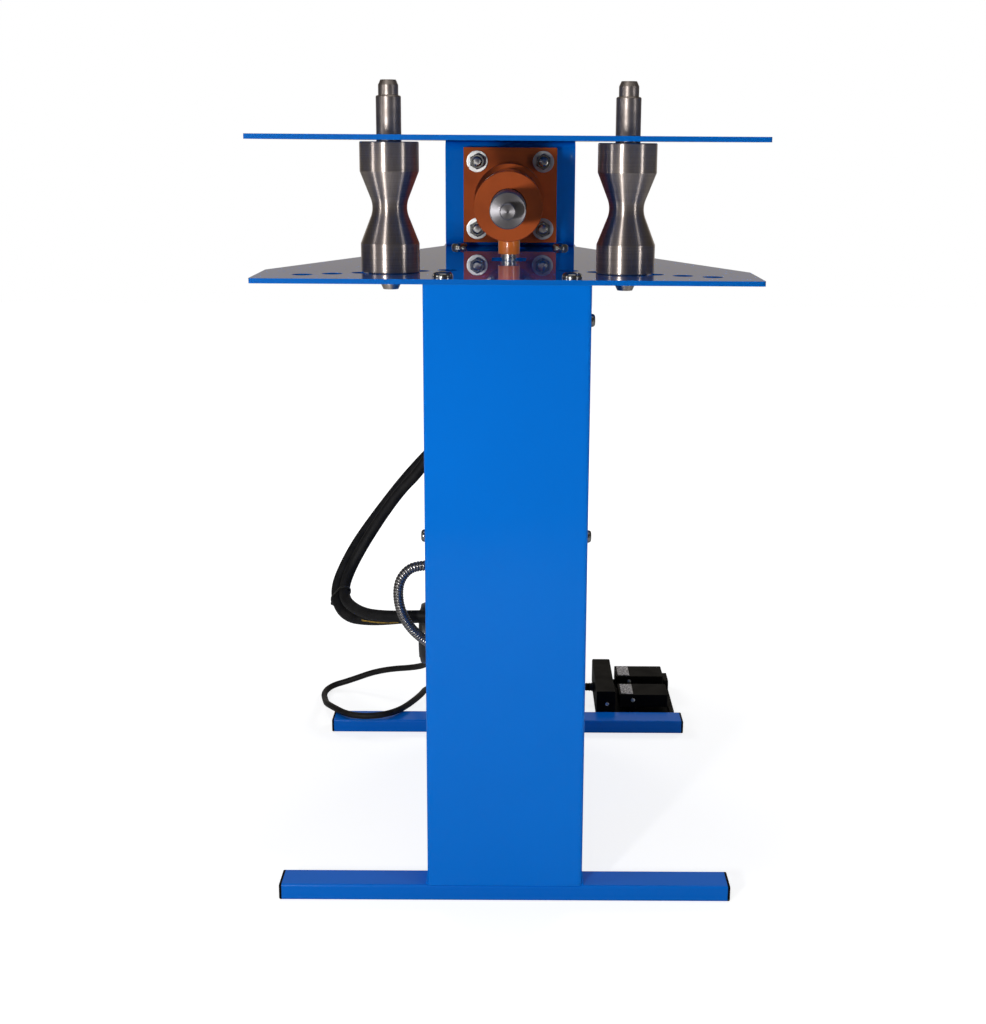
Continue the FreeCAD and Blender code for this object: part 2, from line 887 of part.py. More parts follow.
def make_roller(side):
    place = pin_places(side)[int(roller_station)]
    edge = roller_diameter / 2
    bore = pin_diameter / 2 + running_gap
    middle = roller_height / 2
    slope = (edge - roller_cone_tip / 2) / (middle - roller_band)
    round_half = roller_waist_length / 2
    turn = roller_cone_tip / 2 + slope * round_half
    waist = turn + round_half / slope - math.hypot(round_half, round_half / slope)

    def at(radius, height):
        return Vector(place.x + radius, place.y, lower_plate_top + height)

    def line(a, b):
        return Part.LineSegment(a, b).toShape()

    low_turn = at(turn, middle - round_half)
    high_turn = at(turn, middle + round_half)
    top_band = roller_height - roller_band
    outline = [line(at(bore, 0), at(edge - roller_edge, 0)),
               line(at(edge - roller_edge, 0), at(edge, roller_edge)),
               line(at(edge, roller_edge), at(edge, roller_band)),
               line(at(edge, roller_band), low_turn),
               Part.Arc(low_turn, at(waist, middle), high_turn).toShape(),
               line(high_turn, at(edge, top_band)),
               line(at(edge, top_band), at(edge, roller_height - roller_edge)),
               line(at(edge, roller_height - roller_edge), at(edge - roller_edge, roller_height)),
               line(at(edge - roller_edge, roller_height), at(bore, roller_height)),
               line(at(bore, roller_height), at(bore, 0))]
    face = Part.Face(Part.Wire(outline))
    return face.revolve(place, ALONG_Z, 360)


def make_pin(side):
    place = pin_places(side)[int(roller_station)]
    bottom = lower_plate_top - pin_bottom_nose
    body_bottom = pin_bottom_nose
    body_top = upper_plate_top + pin_above_plate - bottom
    top = body_top + pin_top_nose
    nose = pin_nose_diameter / 2
    body = pin_diameter / 2
    profile = [(0, 0), (nose - pin_nose_chamfer, 0), (nose, pin_nose_chamfer_length),
               (nose, body_bottom), (body, body_bottom), (body, body_top - pin_shoulder_chamfer),
               (body - pin_shoulder_chamfer, body_top), (nose, body_top),
               (nose, top - pin_nose_chamfer_length), (nose - pin_nose_chamfer, top), (0, top)]
    return turned(profile, Vector(place.x, place.y, bottom), ALONG_Z)


# Oil tank, motor and pump

def make_tank():
    half = tank_width / 2
    back = tank_setback + tank_depth
    outer = block(-half, half, tank_setback, back, foot_height, tank_top)
    outer = round_edges(outer, tank_corner, ALONG_Z)
    hollow = block(-half + tank_wall, half - tank_wall, tank_setback + tank_wall,
                   back - tank_wall, foot_height + tank_wall, tank_top)
    return outer.cut(hollow)


def make_tank_lid():
    half = tank_width / 2 + lid_overhang
    lid = block(-half, half, tank_setback - lid_overhang,
                tank_setback + tank_depth + lid_overhang, tank_top, lid_top)
    lid = round_edges(lid, tank_corner, ALONG_Z)
    neck = Vector(filler_offset, tank_setback + filler_inset, tank_top)
    lid = lid.cut(round_bar(filler_hole, lid_thickness, neck))
    return lid.cut(round_bar(pipe_diameter, lid_thickness, return_pipe_foot()))


def on_motor_axis(x):
    return Vector(x, motor_setback, motor_axis)


def make_motor_housing():
    body = round_bar(2 * motor_radius, motor_length, on_motor_axis(motor_left), ALONG_X)
    for i in range(fin_count):
        angle = 360.0 / fin_count * (i + 0.5)
        fin = block(motor_left + motor_end_wall, motor_right - motor_end_wall,
                    motor_setback - fin_width / 2, motor_setback + fin_width / 2,
                    motor_axis + motor_radius - fin_width, motor_axis + motor_radius + fin_height)
        fin.rotate(on_motor_axis(0), ALONG_X, angle)
        body = body.fuse(fin)
    foot_from = motor_left + motor_foot_inset
    foot_to = motor_right - motor_foot_inset
    cradle = block(foot_from, foot_to, motor_setback - motor_foot_width / 2,
                   motor_setback + motor_foot_width / 2, lid_top, lid_top + motor_foot_thickness)
    webs = block(foot_from, foot_to, motor_setback - motor_web_width / 2,
                 motor_setback + motor_web_width / 2, lid_top, motor_axis - motor_radius / 2)
    body = body.fuse(cradle).fuse(webs)
    inside = motor_length - 2 * motor_end_wall
    stator_start = on_motor_axis(motor_left + motor_end_wall)
    body = body.cut(round_bar(stator_bore, inside, stator_start, ALONG_X))
    shaft_hole = shaft_diameter + 2 * running_gap
    return body.cut(round_bar(shaft_hole, motor_length, on_motor_axis(motor_left), ALONG_X))


def make_fan_cover():
    end = motor_left - fan_cover_length
    w = fan_cover_wall
    r = motor_radius + w
    c = fan_cover_chamfer
    length = fan_cover_length + fan_cover_lap
    profile = [(0, 0), (r - c, 0), (r, c), (r, length), (r - w, length),
               (r - w, c + w / 2), (r - c - w / 2, w), (0, w)]
    return turned(profile, on_motor_axis(end), ALONG_X)


def make_motor_shaft():
    """The shaft with its rotor, its fan under the cover and the coupling to the pump."""
    shaft_from = motor_left - fan_cover_length + fan_cover_wall + fan_space
    shaft_to = pump_left - fan_space
    rotor_from = motor_left + motor_end_wall + fan_space
    rotor_to = motor_right - motor_end_wall - fan_space
    disc_from = shaft_from + fan_space
    disc_to = disc_from + fan_disc
    coupling_from = shaft_to - coupling_length
    steps = [(shaft_from, shaft_diameter), (disc_from, 2 * fan_radius),
             (disc_to, shaft_diameter), (rotor_from, rotor_diameter), (rotor_to, shaft_diameter),
             (coupling_from, coupling_diameter)]
    ends = [step[0] for step in steps[1:]] + [shaft_to]
    profile = [(0, shaft_from)]
    for (start, diameter), end in zip(steps, ends):
        profile += [(diameter / 2, start), (diameter / 2, end)]
    profile.append((0, shaft_to))
    shaft = turned(profile, on_motor_axis(0), ALONG_X)
    for i in range(fan_blades):
        blade = block(disc_from + fan_disc / 2, disc_from + fan_thickness,
                      motor_setback - fan_blade / 2, motor_setback + fan_blade / 2,
                      motor_axis + shaft_diameter / 4, motor_axis + fan_radius - fan_blade_inset)
        blade.rotate(on_motor_axis(0), ALONG_X, 360.0 / fan_blades * i)
        shaft = shaft.fuse(blade)
    return shaft


def make_bellhousing():
    bell = round_bar(2 * bell_radius, bell_length, on_motor_axis(motor_right), ALONG_X)
    return bell.cut(round_bar(2 * (bell_radius - bell_wall), bell_length,
                              on_motor_axis(motor_right), ALONG_X))


def make_pump():
    half = pump_height / 2
    pump = block(pump_left, pump_left + pump_length, motor_setback - pump_width / 2,
                 motor_setback + pump_width / 2, motor_axis - half, pump_top - pump_corner)
    pump = round_edges(pump, pump_corner, ALONG_X)
    middle = pump_left + pump_length / 2
    suction = round_bar(pipe_union_diameter, motor_axis - lid_top,
                        Vector(middle, motor_setback, lid_top))
    outlet = round_bar(pipe_union_diameter, half, Vector(middle, motor_setback, motor_axis))
    return pump.fuse(suction).fuse(outlet).removeSplitter()


def terminal_front():
    return motor_setback - motor_radius - fin_height - terminal_depth


def make_terminal_box():
    front = terminal_front()
    box = block(terminal_left, terminal_left + terminal_width, front, motor_setback,
                terminal_bottom, terminal_bottom + terminal_height)
    box = round_edges(box, box_corner, ALONG_Y)
    keep_off = round_bar(2 * (motor_radius + fin_height + terminal_gap), motor_length,
                         on_motor_axis(motor_left), ALONG_X)
    return box.cut(keep_off).Solids[0]


def make_level_gauge():
    back = tank_setback + tank_depth
    bottom = foot_height + gauge_above_rails
    top = bottom + gauge_height
    gauge = centred_block(gauge_offset, gauge_width, back, back + gauge_thickness, bottom, top)
    gauge = round_edges(gauge, (gauge_width - gauge_straight_end) / 2, ALONG_Y)
    window = centred_block(gauge_offset, gauge_width / 3, back + gauge_thickness / 2,
                           back + gauge_thickness, bottom + gauge_width / 1.5,
                           top - gauge_width / 1.5)
    return gauge.cut(window)


def make_filler_cap():
    place = Vector(filler_offset, tank_setback + filler_inset, lid_top)
    r = filler_cap_diameter / 2
    neck = filler_neck / 2
    h = filler_neck_height
    top = h + filler_cap_height
    profile = [(0, 0), (neck, 0), (neck, h), (r - filler_cap_edge, h), (r, h + filler_cap_edge),
               (r, top - filler_cap_crown), (r - filler_cap_crown, top), (0, top)]
    cap = turned(profile, place, ALONG_Z)
    for i in range(filler_grips):
        angle = math.radians(360.0 / filler_grips * i)
        outward = Vector(math.cos(angle), math.sin(angle), 0)
        foot = place + outward * (r + filler_grip_outset) + ALONG_Z * (h + filler_grip_end)
        length = filler_cap_height - 2 * filler_grip_end
        cap = cap.cut(round_bar(filler_grip_width, length, foot))
    return cap


# Valve block, solenoid valve and pipes

def first_block_port():
    return Vector(block_left, cover_back + first_port_inset, block_bottom + first_port_height)


def second_block_port():
    return Vector(block_left, cover_back + second_port_inset, block_bottom + second_port_height)


def pressure_port():
    return Vector(block_left + pressure_port_offset, cover_back + block_depth,
                  block_bottom + pressure_port_height)


def return_port():
    return Vector(block_left + return_port_offset, cover_back + block_depth,
                  block_bottom + return_port_height)


def return_pipe_foot():
    return Vector(return_port().x, tank_setback + return_pipe_inset, tank_top)


def make_valve_block():
    solid = block(block_left, block_right, cover_back, cover_back + block_depth,
                  block_bottom, block_bottom + block_height)
    for port in (first_block_port(), second_block_port()):
        solid = solid.cut(round_bar(port_hole, block_width / 3, port, ALONG_X))
    for port in (pressure_port(), return_port()):
        solid = solid.cut(round_bar(pipe_diameter, block_depth / 6, port, ALONG_Y * -1))
    return solid


def make_solenoid_valve():
    left = block_right
    valve_setback = cover_back + valve_inset
    middle = block_bottom + block_height / 2
    body = block(left, left + valve_body, valve_setback - valve_body / 2,
                 valve_setback + valve_body / 2, middle - valve_body_length / 2,
                 middle + valve_body_length / 2)
    x = left + valve_body / 2
    upper_limit = box_bottom - button_gap - middle - valve_body_length / 2
    reach = min(coil_length, upper_limit)
    upper = round_bar(coil_diameter, reach,
                      Vector(x, valve_setback, middle + valve_body_length / 2))
    lower = round_bar(coil_diameter, coil_length,
                      Vector(x, valve_setback, middle - valve_body_length / 2 - coil_length))
    plugs = []
    for centre in (middle + valve_body_length / 2 + reach / 2,
                   middle - valve_body_length / 2 - coil_length / 2):
        quarter = coil_diameter / 4
        plugs.append(block(x, x + coil_diameter / 2 + valve_body / 3, valve_setback - quarter,
                           valve_setback + quarter, centre - quarter, centre + quarter))
    return body.fuse([upper, lower] + plugs).removeSplitter()


# Routes of pipes, hoses and cables: straight runs joined by tangent arcs

def route_steps(points, fixed_radius=None):
    """Lines and arcs through the points, as dictionaries, and the bend radii."""
    share_of_shorter_run = 0.45
    steps = []
    radii = []
    start = points[0]
    for i in range(1, len(points) - 1):
        before = points[i] - points[i - 1]
        after = points[i + 1] - points[i]
        u = Vector(before).normalize()
        v = Vector(after).normalize()
        turn = u.getAngle(v)
        tangent = share_of_shorter_run * min(before.Length, after.Length)
        if fixed_radius:
            tangent = fixed_radius * math.tan(turn / 2)
        radius = tangent / math.tan(turn / 2)
        bend_from = points[i] - u * tangent
        bend_to = points[i] + v * tangent
        inward = (v - u * u.dot(v)).normalize()
        centre = bend_from + inward * radius
        middle = centre + (points[i] - centre).normalize() * radius
        steps.append({"kind": "line", "from": start, "to": bend_from})
        steps.append({"kind": "arc", "from": bend_from, "middle": middle, "to": bend_to,
                      "centre": centre, "axis": u.cross(v).normalize(), "turn": turn,
                      "radius": radius})
        radii.append(radius)
        start = bend_to
    steps.append({"kind": "line", "from": start, "to": points[-1]})
    return steps, radii


def route_wire(steps):
    edges = []
    for step in steps:
        if step["kind"] == "line":
            edges.append(Part.LineSegment(step["from"], step["to"]).toShape())
        else:
            edges.append(Part.Arc(step["from"], step["middle"], step["to"]).toShape())
    return Part.Wire(edges)


def sweep_round(points, diameter, name, fixed_radius=None):
    steps, radii = route_steps(points, fixed_radius)
    wire = route_wire(steps)
    direction = (points[1] - points[0]).normalize()
    circle = Part.Wire([Part.makeCircle(diameter / 2, points[0], direction)])
    solid = wire.makePipeShell([circle], True, True)
    expected = math.pi * diameter ** 2 / 4 * wire.Length
    print(name, "length", round(wire.Length), "radii", [round(r) for r in radii],
          "volume over section times length", round(solid.Volume / expected, 4))
    return solid


def make_pipes():
    pump_x = pump_left + pump_length / 2
    out = pressure_port()
    pressure = [out, Vector(out.x, motor_setback, out.z), Vector(pump_x, motor_setback, out.z),
                Vector(pump_x, motor_setback, pump_top)]
    back = return_port()
    foot = return_pipe_foot()
    return_line = [back, Vector(back.x, foot.y, back.z), foot]
    return (sweep_round(pressure, pipe_diameter, "pressure pipe", pipe_bend),
            sweep_round(return_line, pipe_diameter, "return pipe", pipe_bend))


def hose_end(seat, outward):
    """A crimped hose end: swivel nut, then the ferrule that the hose comes out of."""
    nut = hex_bar(swivel_hex, swivel_length, seat, outward)
    ferrule = round_bar(ferrule_diameter, ferrule_length, seat + outward * swivel_length, outward)
    return nut.fuse(ferrule).removeSplitter()


def hose_seats():
    """Where each hose end is screwed on, and the direction in which the hose leaves."""
    left = ALONG_X * -1
    down = ALONG_Z * -1
    return {"front_top": (Vector(0, front_port_setback, nipple_bottom()), down),
            "rear_top": (Vector(0, rear_port_setback, nipple_bottom()), down),
            "front_block": (first_block_port(), left),
            "rear_block": (second_block_port(), left)}


def hose_route(top, middle_points, bottom):
    reach = swivel_length + ferrule_length
    seats = hose_seats()
    start = seats[top][0] + seats[top][1] * reach
    end = seats[bottom][0] + seats[bottom][1] * reach
    return [start] + [Vector(*point) for point in middle_points] + [end]


front_hose_points = [(0, 368, 759), (-96, 379, 665), (-140, 396, 577), (-189, 409, 526),
                     (-262, 423, 410), (-279, 369, 362), (-243, 304, 354), (-197, 267, 359),
                     (-138, 235, 371)]
rear_hose_points = [(0, 635, 759), (-63, 569, 643), (-162, 528, 554), (-240, 483, 458),
                    (-272, 435, 413), (-294, 395, 362), (-273, 349, 332), (-223, 311, 337),
                    (-148, 275, 356)]
conduit_points = [(-139, 200, 464), (-158, 200, 453), (-169.5, 200, 431.5), (-168.5, 201, 396.5),
                  (-154, 204, 363), (-127, 222.5, 330.5), (-92, 257.5, 302), (-72, 301, 291)]


def conduit_ends():
    box_seat = Vector(box_left, cover_back + conduit_inset, box_bottom + conduit_height)
    terminal_seat = Vector(terminal_left + terminal_width / 2, terminal_front(),
                           terminal_bottom + terminal_height / 2)
    return (box_seat, ALONG_X * -1), (terminal_seat, ALONG_Y * -1)


def conduit_fitting(seat, outward):
    nut = hex_bar(conduit_nut_hex, conduit_nut_length, seat, outward)
    body = round_bar(conduit_body_diameter, conduit_body_length,
                     seat + outward * conduit_nut_length, outward)
    return nut.fuse(body).removeSplitter()


def conduit_route():
    reach = conduit_nut_length + conduit_body_length
    first, last = conduit_ends()
    start = first[0] + first[1] * reach
    end = last[0] + last[1] * reach
    return [start] + [Vector(*point) for point in conduit_points] + [end]


def sample_route(steps, spacing):
    """Points, directions and distances at even steps along a route."""
    samples = []
    travelled = 0.0
    target = 0.0
    for step in steps:
        if step["kind"] == "line":
            run = step["to"] - step["from"]
            length = run.Length
        else:
            length = step["radius"] * step["turn"]
        while target <= travelled + length + 1e-6:
            here = target - travelled
            if step["kind"] == "line":
                direction = Vector(run).normalize()
                samples.append((step["from"] + direction * here, direction, target))
            else:
                turn = FreeCAD.Rotation(step["axis"], math.degrees(here / step["radius"]))
                arm = turn.multVec(step["from"] - step["centre"])
                samples.append((step["centre"] + arm, step["axis"].cross(arm).normalize(), target))
            target += spacing
        travelled += length
    return samples, travelled


def make_conduit():
    """A ribbed tube: four circles to a rib, joined by straight-sided bands, with its bore."""
    points = conduit_route()
    steps, radii = route_steps(points)
    wire = route_wire(steps)
    ribs = round(wire.Length / conduit_pitch)
    samples, total = sample_route(steps, wire.Length / (4 * ribs))
    steady = Vector(1, -1, 0)
    circles = []
    for index, (point, direction, distance) in enumerate(samples):
        plain_end = min(distance, total - distance) < conduit_diameter
        crest = index % 4 < 2 or plain_end
        side = steady - direction * steady.dot(direction)
        turn = FreeCAD.Rotation(side, direction.cross(side), direction, "ZXY")
        edge = Part.makeCircle((conduit_diameter if crest else conduit_groove) / 2)
        edge.Placement = FreeCAD.Placement(point, turn)
        circles.append(Part.Wire([edge]))
    faces = [Part.Face(circles[0]), Part.Face(circles[-1])]
    for first in range(0, 4 * ribs, 4):
        faces += Part.makeLoft(circles[first:first + 5], False, True).Faces
    shell = Part.makeShell(faces)
    shell.sewShape()
    direction = (points[1] - points[0]).normalize()
    ring = Part.Wire([Part.makeCircle(conduit_bore / 2, points[0], direction)])
    conduit = Part.makeSolid(shell).cut(wire.makePipeShell([ring], True, True))
    print("conduit length", round(total), "radii", [round(r) for r in radii], "ribs", ribs,
          "volume", round(conduit.Volume))
    return conduit


pedal_cable_points = [(-120.5, 734, 190), (-154, 730.5, 122.5), (-172, 825.5, 74.5),
                      (-262.5, 884.5, 47.5), (-331.5, 902, 16), (-375, 869, 6.5),
                      (-366.5, 808, 9), (-353.5, 728, 31), (-295, 654.5, 33),
                      (-216.5, 670, 34.5), (-175, 791, 26), (-169, 892.5, 7),
                      (-67, 935.5, 7), (30, 890, 7), (82.5, 850.5, 11.5), (118, 836, 30)]


def cable_ends():
    half = junction_width / 2
    back = rear_foot_setback + foot_depth
    junction_seat = Vector(-half, back + junction_gland_depth,
                           junction_bottom + junction_gland_height)
    pedal_seat = Vector(pedal_left, pedal_setback + pedal_depth / 2, pedal_cable_height)
    return junction_seat, pedal_seat


def cable_gland(seat, outward):
    nut = hex_bar(gland_hex, gland_hex_length, seat, outward)
    r = gland_dome_diameter / 2
    tip = gland_tip_diameter / 2
    dome = turned([(0, 0), (r, 0), (r, gland_dome_straight), (tip, gland_dome_length),
                   (0, gland_dome_length)], seat + outward * gland_hex_length, outward)
    return nut.fuse(dome).removeSplitter()


def cable_boot(seat, outward):
    """The plain sleeve that keeps the cable from bending sharply where it leaves the pedal."""
    r = boot_diameter / 2
    tip = boot_tip_diameter / 2
    return turned([(0, 0), (r, 0), (r, boot_straight), (tip, boot_length), (0, boot_length)],
                  seat, outward)


def pedal_cable_route():
    reach = gland_hex_length + gland_dome_length
    left = ALONG_X * -1
    junction_seat, pedal_seat = cable_ends()
    start = junction_seat + left * reach
    end = pedal_seat + left * boot_length
    return [start] + [Vector(*point) for point in pedal_cable_points] + [end]


def make_hose_tie():
    """A strap round both hoses, square to the front port hose in the middle of a bend."""
    front_steps, radii = route_steps(hose_route("front_top", front_hose_points, "front_block"))
    rear_steps, radii = route_steps(hose_route("rear_top", rear_hose_points, "rear_block"))
    bends = [step for step in front_steps if step["kind"] == "arc"]
    bend = bends[int(tie_bend) - 1]
    front = bend["middle"]
    run = bend["axis"].cross(front - bend["centre"]).normalize()
    rear_samples, total = sample_route(rear_steps, 1.0)
    rear = min((sample[0] for sample in rear_samples), key=lambda p: abs((p - front).dot(run))
               + (p - front).Length / 100)
    across = rear - front
    across = across - run * across.dot(run)
    gap = across.Length
    across = across.normalize()
    up = run.cross(across)

    def loop(radius):
        start = front - run * (tie_width / 2)
        far = start + across * gap
        edges = [Part.LineSegment(start + up * radius, far + up * radius).toShape(),
                 Part.Arc(far + up * radius, far + across * radius, far - up * radius).toShape(),
                 Part.LineSegment(far - up * radius, start - up * radius).toShape(),
                 Part.Arc(start - up * radius, start - across * radius,
                          start + up * radius).toShape()]
        return Part.Face(Part.Wire(edges)).extrude(run * tie_width)

    inner = hose_diameter / 2 + tie_gap
    band = loop(inner + tie_thickness).cut(loop(inner))
    half = tie_head / 2
    head = block(0, tie_head, -half, half, -half, half)
    seat = front + across * (gap + inner + tie_thickness / 2)
    head.Placement = FreeCAD.Placement(seat, FreeCAD.Rotation(across, up, run, "XZY"))
    return band.fuse(head)


# Control box with its main switch and stop button, and the junction box

def make_control_box():
    top = box_bottom + box_height
    outer = block(box_left, box_right, cover_back, cover_back + box_depth, box_bottom, top)
    outer = round_edges(outer, box_corner, ALONG_Y)
    hollow = block(box_left + box_wall, box_right - box_wall, cover_back + box_wall,
                   cover_back + box_depth, box_bottom + box_wall, top - box_wall)
    shell = outer.cut(hollow)
    half = switch_plate / 2
    switch_z = box_bottom + switch_height
    stop_z = box_bottom + stop_height
    plate = block(box_right, box_right + switch_plate_thickness, switch_setback - half,
                  switch_setback + half, switch_z - half, switch_z + half)
    collar = round_bar(stop_collar_diameter, stop_collar_height,
                       Vector(box_right, switch_setback, stop_z), ALONG_X)
    shell = shell.fuse(plate).fuse(collar)
    stem = round_bar(stop_stem_diameter + 2 * button_gap, stop_collar_height + box_wall,
                     Vector(box_right - box_wall, switch_setback, stop_z), ALONG_X)
    return shell.cut(stem).removeSplitter()


def make_control_box_lid():
    front = cover_back + box_depth
    lid = block(box_left, box_right, front, front + box_lid, box_bottom, box_bottom + box_height)
    return round_edges(lid, box_corner, ALONG_Y)


def make_switch_knob():
    seat = Vector(box_right + switch_plate_thickness, switch_setback, box_bottom + switch_height)
    base = round_bar(knob_diameter, knob_base, seat, ALONG_X)
    grip = block(seat.x, seat.x + knob_base + knob_grip, seat.y - knob_grip_width / 2,
                 seat.y + knob_grip_width / 2, seat.z - knob_diameter / 2 + knob_grip_inset,
                 seat.z + knob_diameter / 2 - knob_grip_inset)
    return base.fuse(round_edges(grip, knob_grip_corner, ALONG_X)).removeSplitter()


def make_stop_button():
    seat = Vector(box_right - 2 * box_wall, switch_setback, box_bottom + stop_height)
    head_from = 2 * box_wall + stop_collar_height + stop_travel + button_gap
    stem = stop_stem_diameter / 2
    head = stop_head_diameter / 2
    end = head_from + stop_head_height
    profile = [(0, 0), (stem, 0), (stem, head_from), (head - stop_head_edge, head_from),
               (head, head_from + stop_head_edge)]
    profile += [(head - inward, end - drop) for inward, drop in stop_head_crown]
    profile.append((0, end))
    return turned(profile, seat, ALONG_X)


def make_junction_box():
    back = rear_foot_setback + foot_depth
    box = centred_block(0, junction_width, back, back + junction_depth, junction_bottom,
                        junction_bottom + junction_height)
    return round_edges(box, box_corner, ALONG_Y)


# Foot pedal

def make_pedal_base():
    right = pedal_left + pedal_length
    back = pedal_setback + pedal_depth
    base = block(pedal_left, right, pedal_setback, back, 0, pedal_rim_height)
    base = round_edges(base, pedal_guard, ALONG_Z)
    tray_from = pedal_left + housing_width
    hollow = block(tray_from, right - pedal_guard, pedal_setback + pedal_rim,
                   back - pedal_rim, pedal_plate, pedal_rim_height)
    under_housing = block(pedal_left, tray_from, pedal_setback, back, pedal_plate,
                          pedal_rim_height)
    base = base.cut(hollow).cut(under_housing)
    guard_front = pedal_setback + pedal_guard_inset
    guard = block(right - pedal_guard, right, guard_front, guard_front + pedal_guard_length,
                  pedal_plate, pedal_guard_height)
    base = base.fuse(round_edges(guard, pedal_guard_corner, ALONG_X))
    for setback in (front_treadle_setback, rear_treadle_setback):
        for ear in hinge_ears(setback):
            base = base.fuse(ear)
    return base.removeSplitter()


def ear_places(setback):
    """Where the two hinge ears start, just inside the front and back walls of the treadle."""
    inset = treadle_wall + button_gap
    return setback + inset, setback + treadle_depth - inset - hinge_ear


def hinge_ears(setback):
    half = hinge_ear_width / 2
    ears = []
    for start in ear_places(setback):
        pivot = Vector(treadle_pivot, start, treadle_pivot_height)
        ear = block(treadle_pivot - half, treadle_pivot + half, start, start + hinge_ear,
                    0, treadle_pivot_height)
        crown = round_bar(hinge_ear_width, hinge_ear, pivot, ALONG_Y)
        hole = round_bar(hinge_pin_diameter, hinge_ear, pivot, ALONG_Y)
        ears.append(ear.fuse(crown).cut(hole).removeSplitter())
    return ears


def make_pedal_housing():
    right = pedal_left + housing_width - button_gap
    back = pedal_setback + pedal_depth
    outer = block(pedal_left, right, pedal_setback, back, pedal_plate, housing_height)
    outer = round_edges(outer, housing_corner, ALONG_Y)
    outer = outer.cut(block(pedal_left, right, pedal_setback, back, 0, pedal_plate))
    hollow = block(pedal_left + housing_wall, right - housing_wall, pedal_setback + housing_wall,
                   back - housing_wall, pedal_plate, housing_height - housing_wall)
    return outer.cut(hollow)


def make_treadle(setback):
    """A shell, open underneath, that tips about the pin through its front and back walls."""
    right = treadle_left + treadle_length
    back = setback + treadle_depth
    shell = block(treadle_left, right, setback, back, treadle_bottom, treadle_top)
    shell = round_edges(shell, treadle_corner, ALONG_Z)
    hollow = block(treadle_left + treadle_wall, right - treadle_wall, setback + treadle_wall,
                   back - treadle_wall, treadle_bottom, treadle_top - treadle_wall)
    hole = round_bar(hinge_pin_diameter + 2 * running_gap, treadle_depth,
                     Vector(treadle_pivot, setback, treadle_pivot_height), ALONG_Y)
    return shell.cut(hollow).cut(hole)


def make_hinge_pins():
    pins = []
    for setback in (front_treadle_setback, rear_treadle_setback):
        start = Vector(treadle_pivot, setback - button_gap, treadle_pivot_height)
        pin = round_bar(hinge_pin_diameter, treadle_depth + button_gap, start, ALONG_Y)
        crown = [(hinge_pin_head / 2 * across, hinge_head_height * up)
                 for across, up in hinge_head_crown]
        head = turned([(0, 0)] + crown + [(0, hinge_head_height)], start, ALONG_Y * -1)
        pins.append(pin.fuse(head).removeSplitter())
    return pins


def build():
    os.makedirs("parts", exist_ok=True)

    save("front_foot", make_foot(0))
    save("rear_foot", make_foot(rear_foot_setback))
    save("foot_end_caps", *[make_foot_cap(setback, side)
                            for setback in (0, rear_foot_setback) for side in (-1, 1)])
    save("base_rails", make_rail(-1), make_rail(1))
    save("column", make_column())
    save("column_back_cover", make_back_cover())
    save("cover_screws", *make_cover_screws())
    save("rear_post", make_rear_post())

    save("lower_plate", make_lower_plate())
    save("upper_plate", make_upper_plate())
    save("cylinder_bracket", make_bracket())
    save("lower_plate_screws", *make_plate_screws())
    save("bracket_bolts", *make_bracket_bolts())

    save("cylinder_flange", make_flange())
    save("cylinder_barrel", make_barrel())
    save("gland_head", make_gland_head())
    save("wiper_seal", rod_sleeve(wiper_diameter, wiper_length, disc_setback + gland_lip))
    bush_start = disc_setback + disc_thickness + gland_spigot - bush_length
    save("guide_bush", rod_sleeve(bush_diameter, bush_length, bush_start))
    save("ram_rod", make_ram_rod())
    save("piston", make_piston())
    save("port_bosses", make_port_boss(front_port_setback, barrel_diameter),
         make_port_boss(rear_port_setback, hub_diameter))
    save("port_nipples", make_nipple(front_port_setback), make_nipple(rear_port_setback))
    save("flange_washers", *make_flange_washers())
    save("flange_nuts", *make_flange_nuts())
    save("flange_studs", *make_flange_studs())

    save("left_roller", make_roller(-1))
    save("right_roller", make_roller(1))
    save("left_pin", make_pin(-1))
    save("right_pin", make_pin(1))

    save("oil_tank", make_tank())
    save("tank_lid", make_tank_lid())
    save("motor_housing", make_motor_housing())
    save("motor_fan_cover", make_fan_cover())
    save("motor_shaft", make_motor_shaft())
    save("motor_terminal_box", make_terminal_box())
    save("pump_bellhousing", make_bellhousing())
    save("gear_pump", make_pump())
    save("level_gauge", make_level_gauge())
    save("filler_cap", make_filler_cap())
    save("valve_block", make_valve_block())
    save("solenoid_valve", make_solenoid_valve())
    save("hydraulic_pipes", *make_pipes())

    save("hose_fittings", *[hose_end(seat, outward) for seat, outward in hose_seats().values()])
    save("front_port_hose", sweep_round(hose_route("front_top", front_hose_points, "front_block"),
                                        hose_diameter, "front port hose"))
    save("rear_port_hose", sweep_round(hose_route("rear_top", rear_hose_points, "rear_block"),
                                       hose_diameter, "rear port hose"))
    save("hose_tie", make_hose_tie())
    save("conduit_fittings", *[conduit_fitting(seat, outward) for seat, outward in conduit_ends()])
    save("motor_conduit", make_conduit())
    junction_seat, pedal_seat = cable_ends()
    save("cable_glands", cable_gland(junction_seat, ALONG_X * -1),
         cable_boot(pedal_seat, ALONG_X * -1))
    save("pedal_cable", sweep_round(pedal_cable_route(), cable_diameter, "pedal cable"))

    save("control_box", make_control_box())
    save("control_box_lid", make_control_box_lid())
    save("main_switch_knob", make_switch_knob())
    save("stop_button", make_stop_button())
    save("junction_box", make_junction_box())

    save("pedal_base", make_pedal_base())
    save("pedal_housing", make_pedal_housing())
    save("front_treadle", make_treadle(front_treadle_setback))
    save("rear_treadle", make_treadle(rear_treadle_setback))
    save("pedal_hinge_pins", *make_hinge_pins())


build()
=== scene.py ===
import math

import bmesh
import bpy
from mathutils import Matrix, Vector, noise


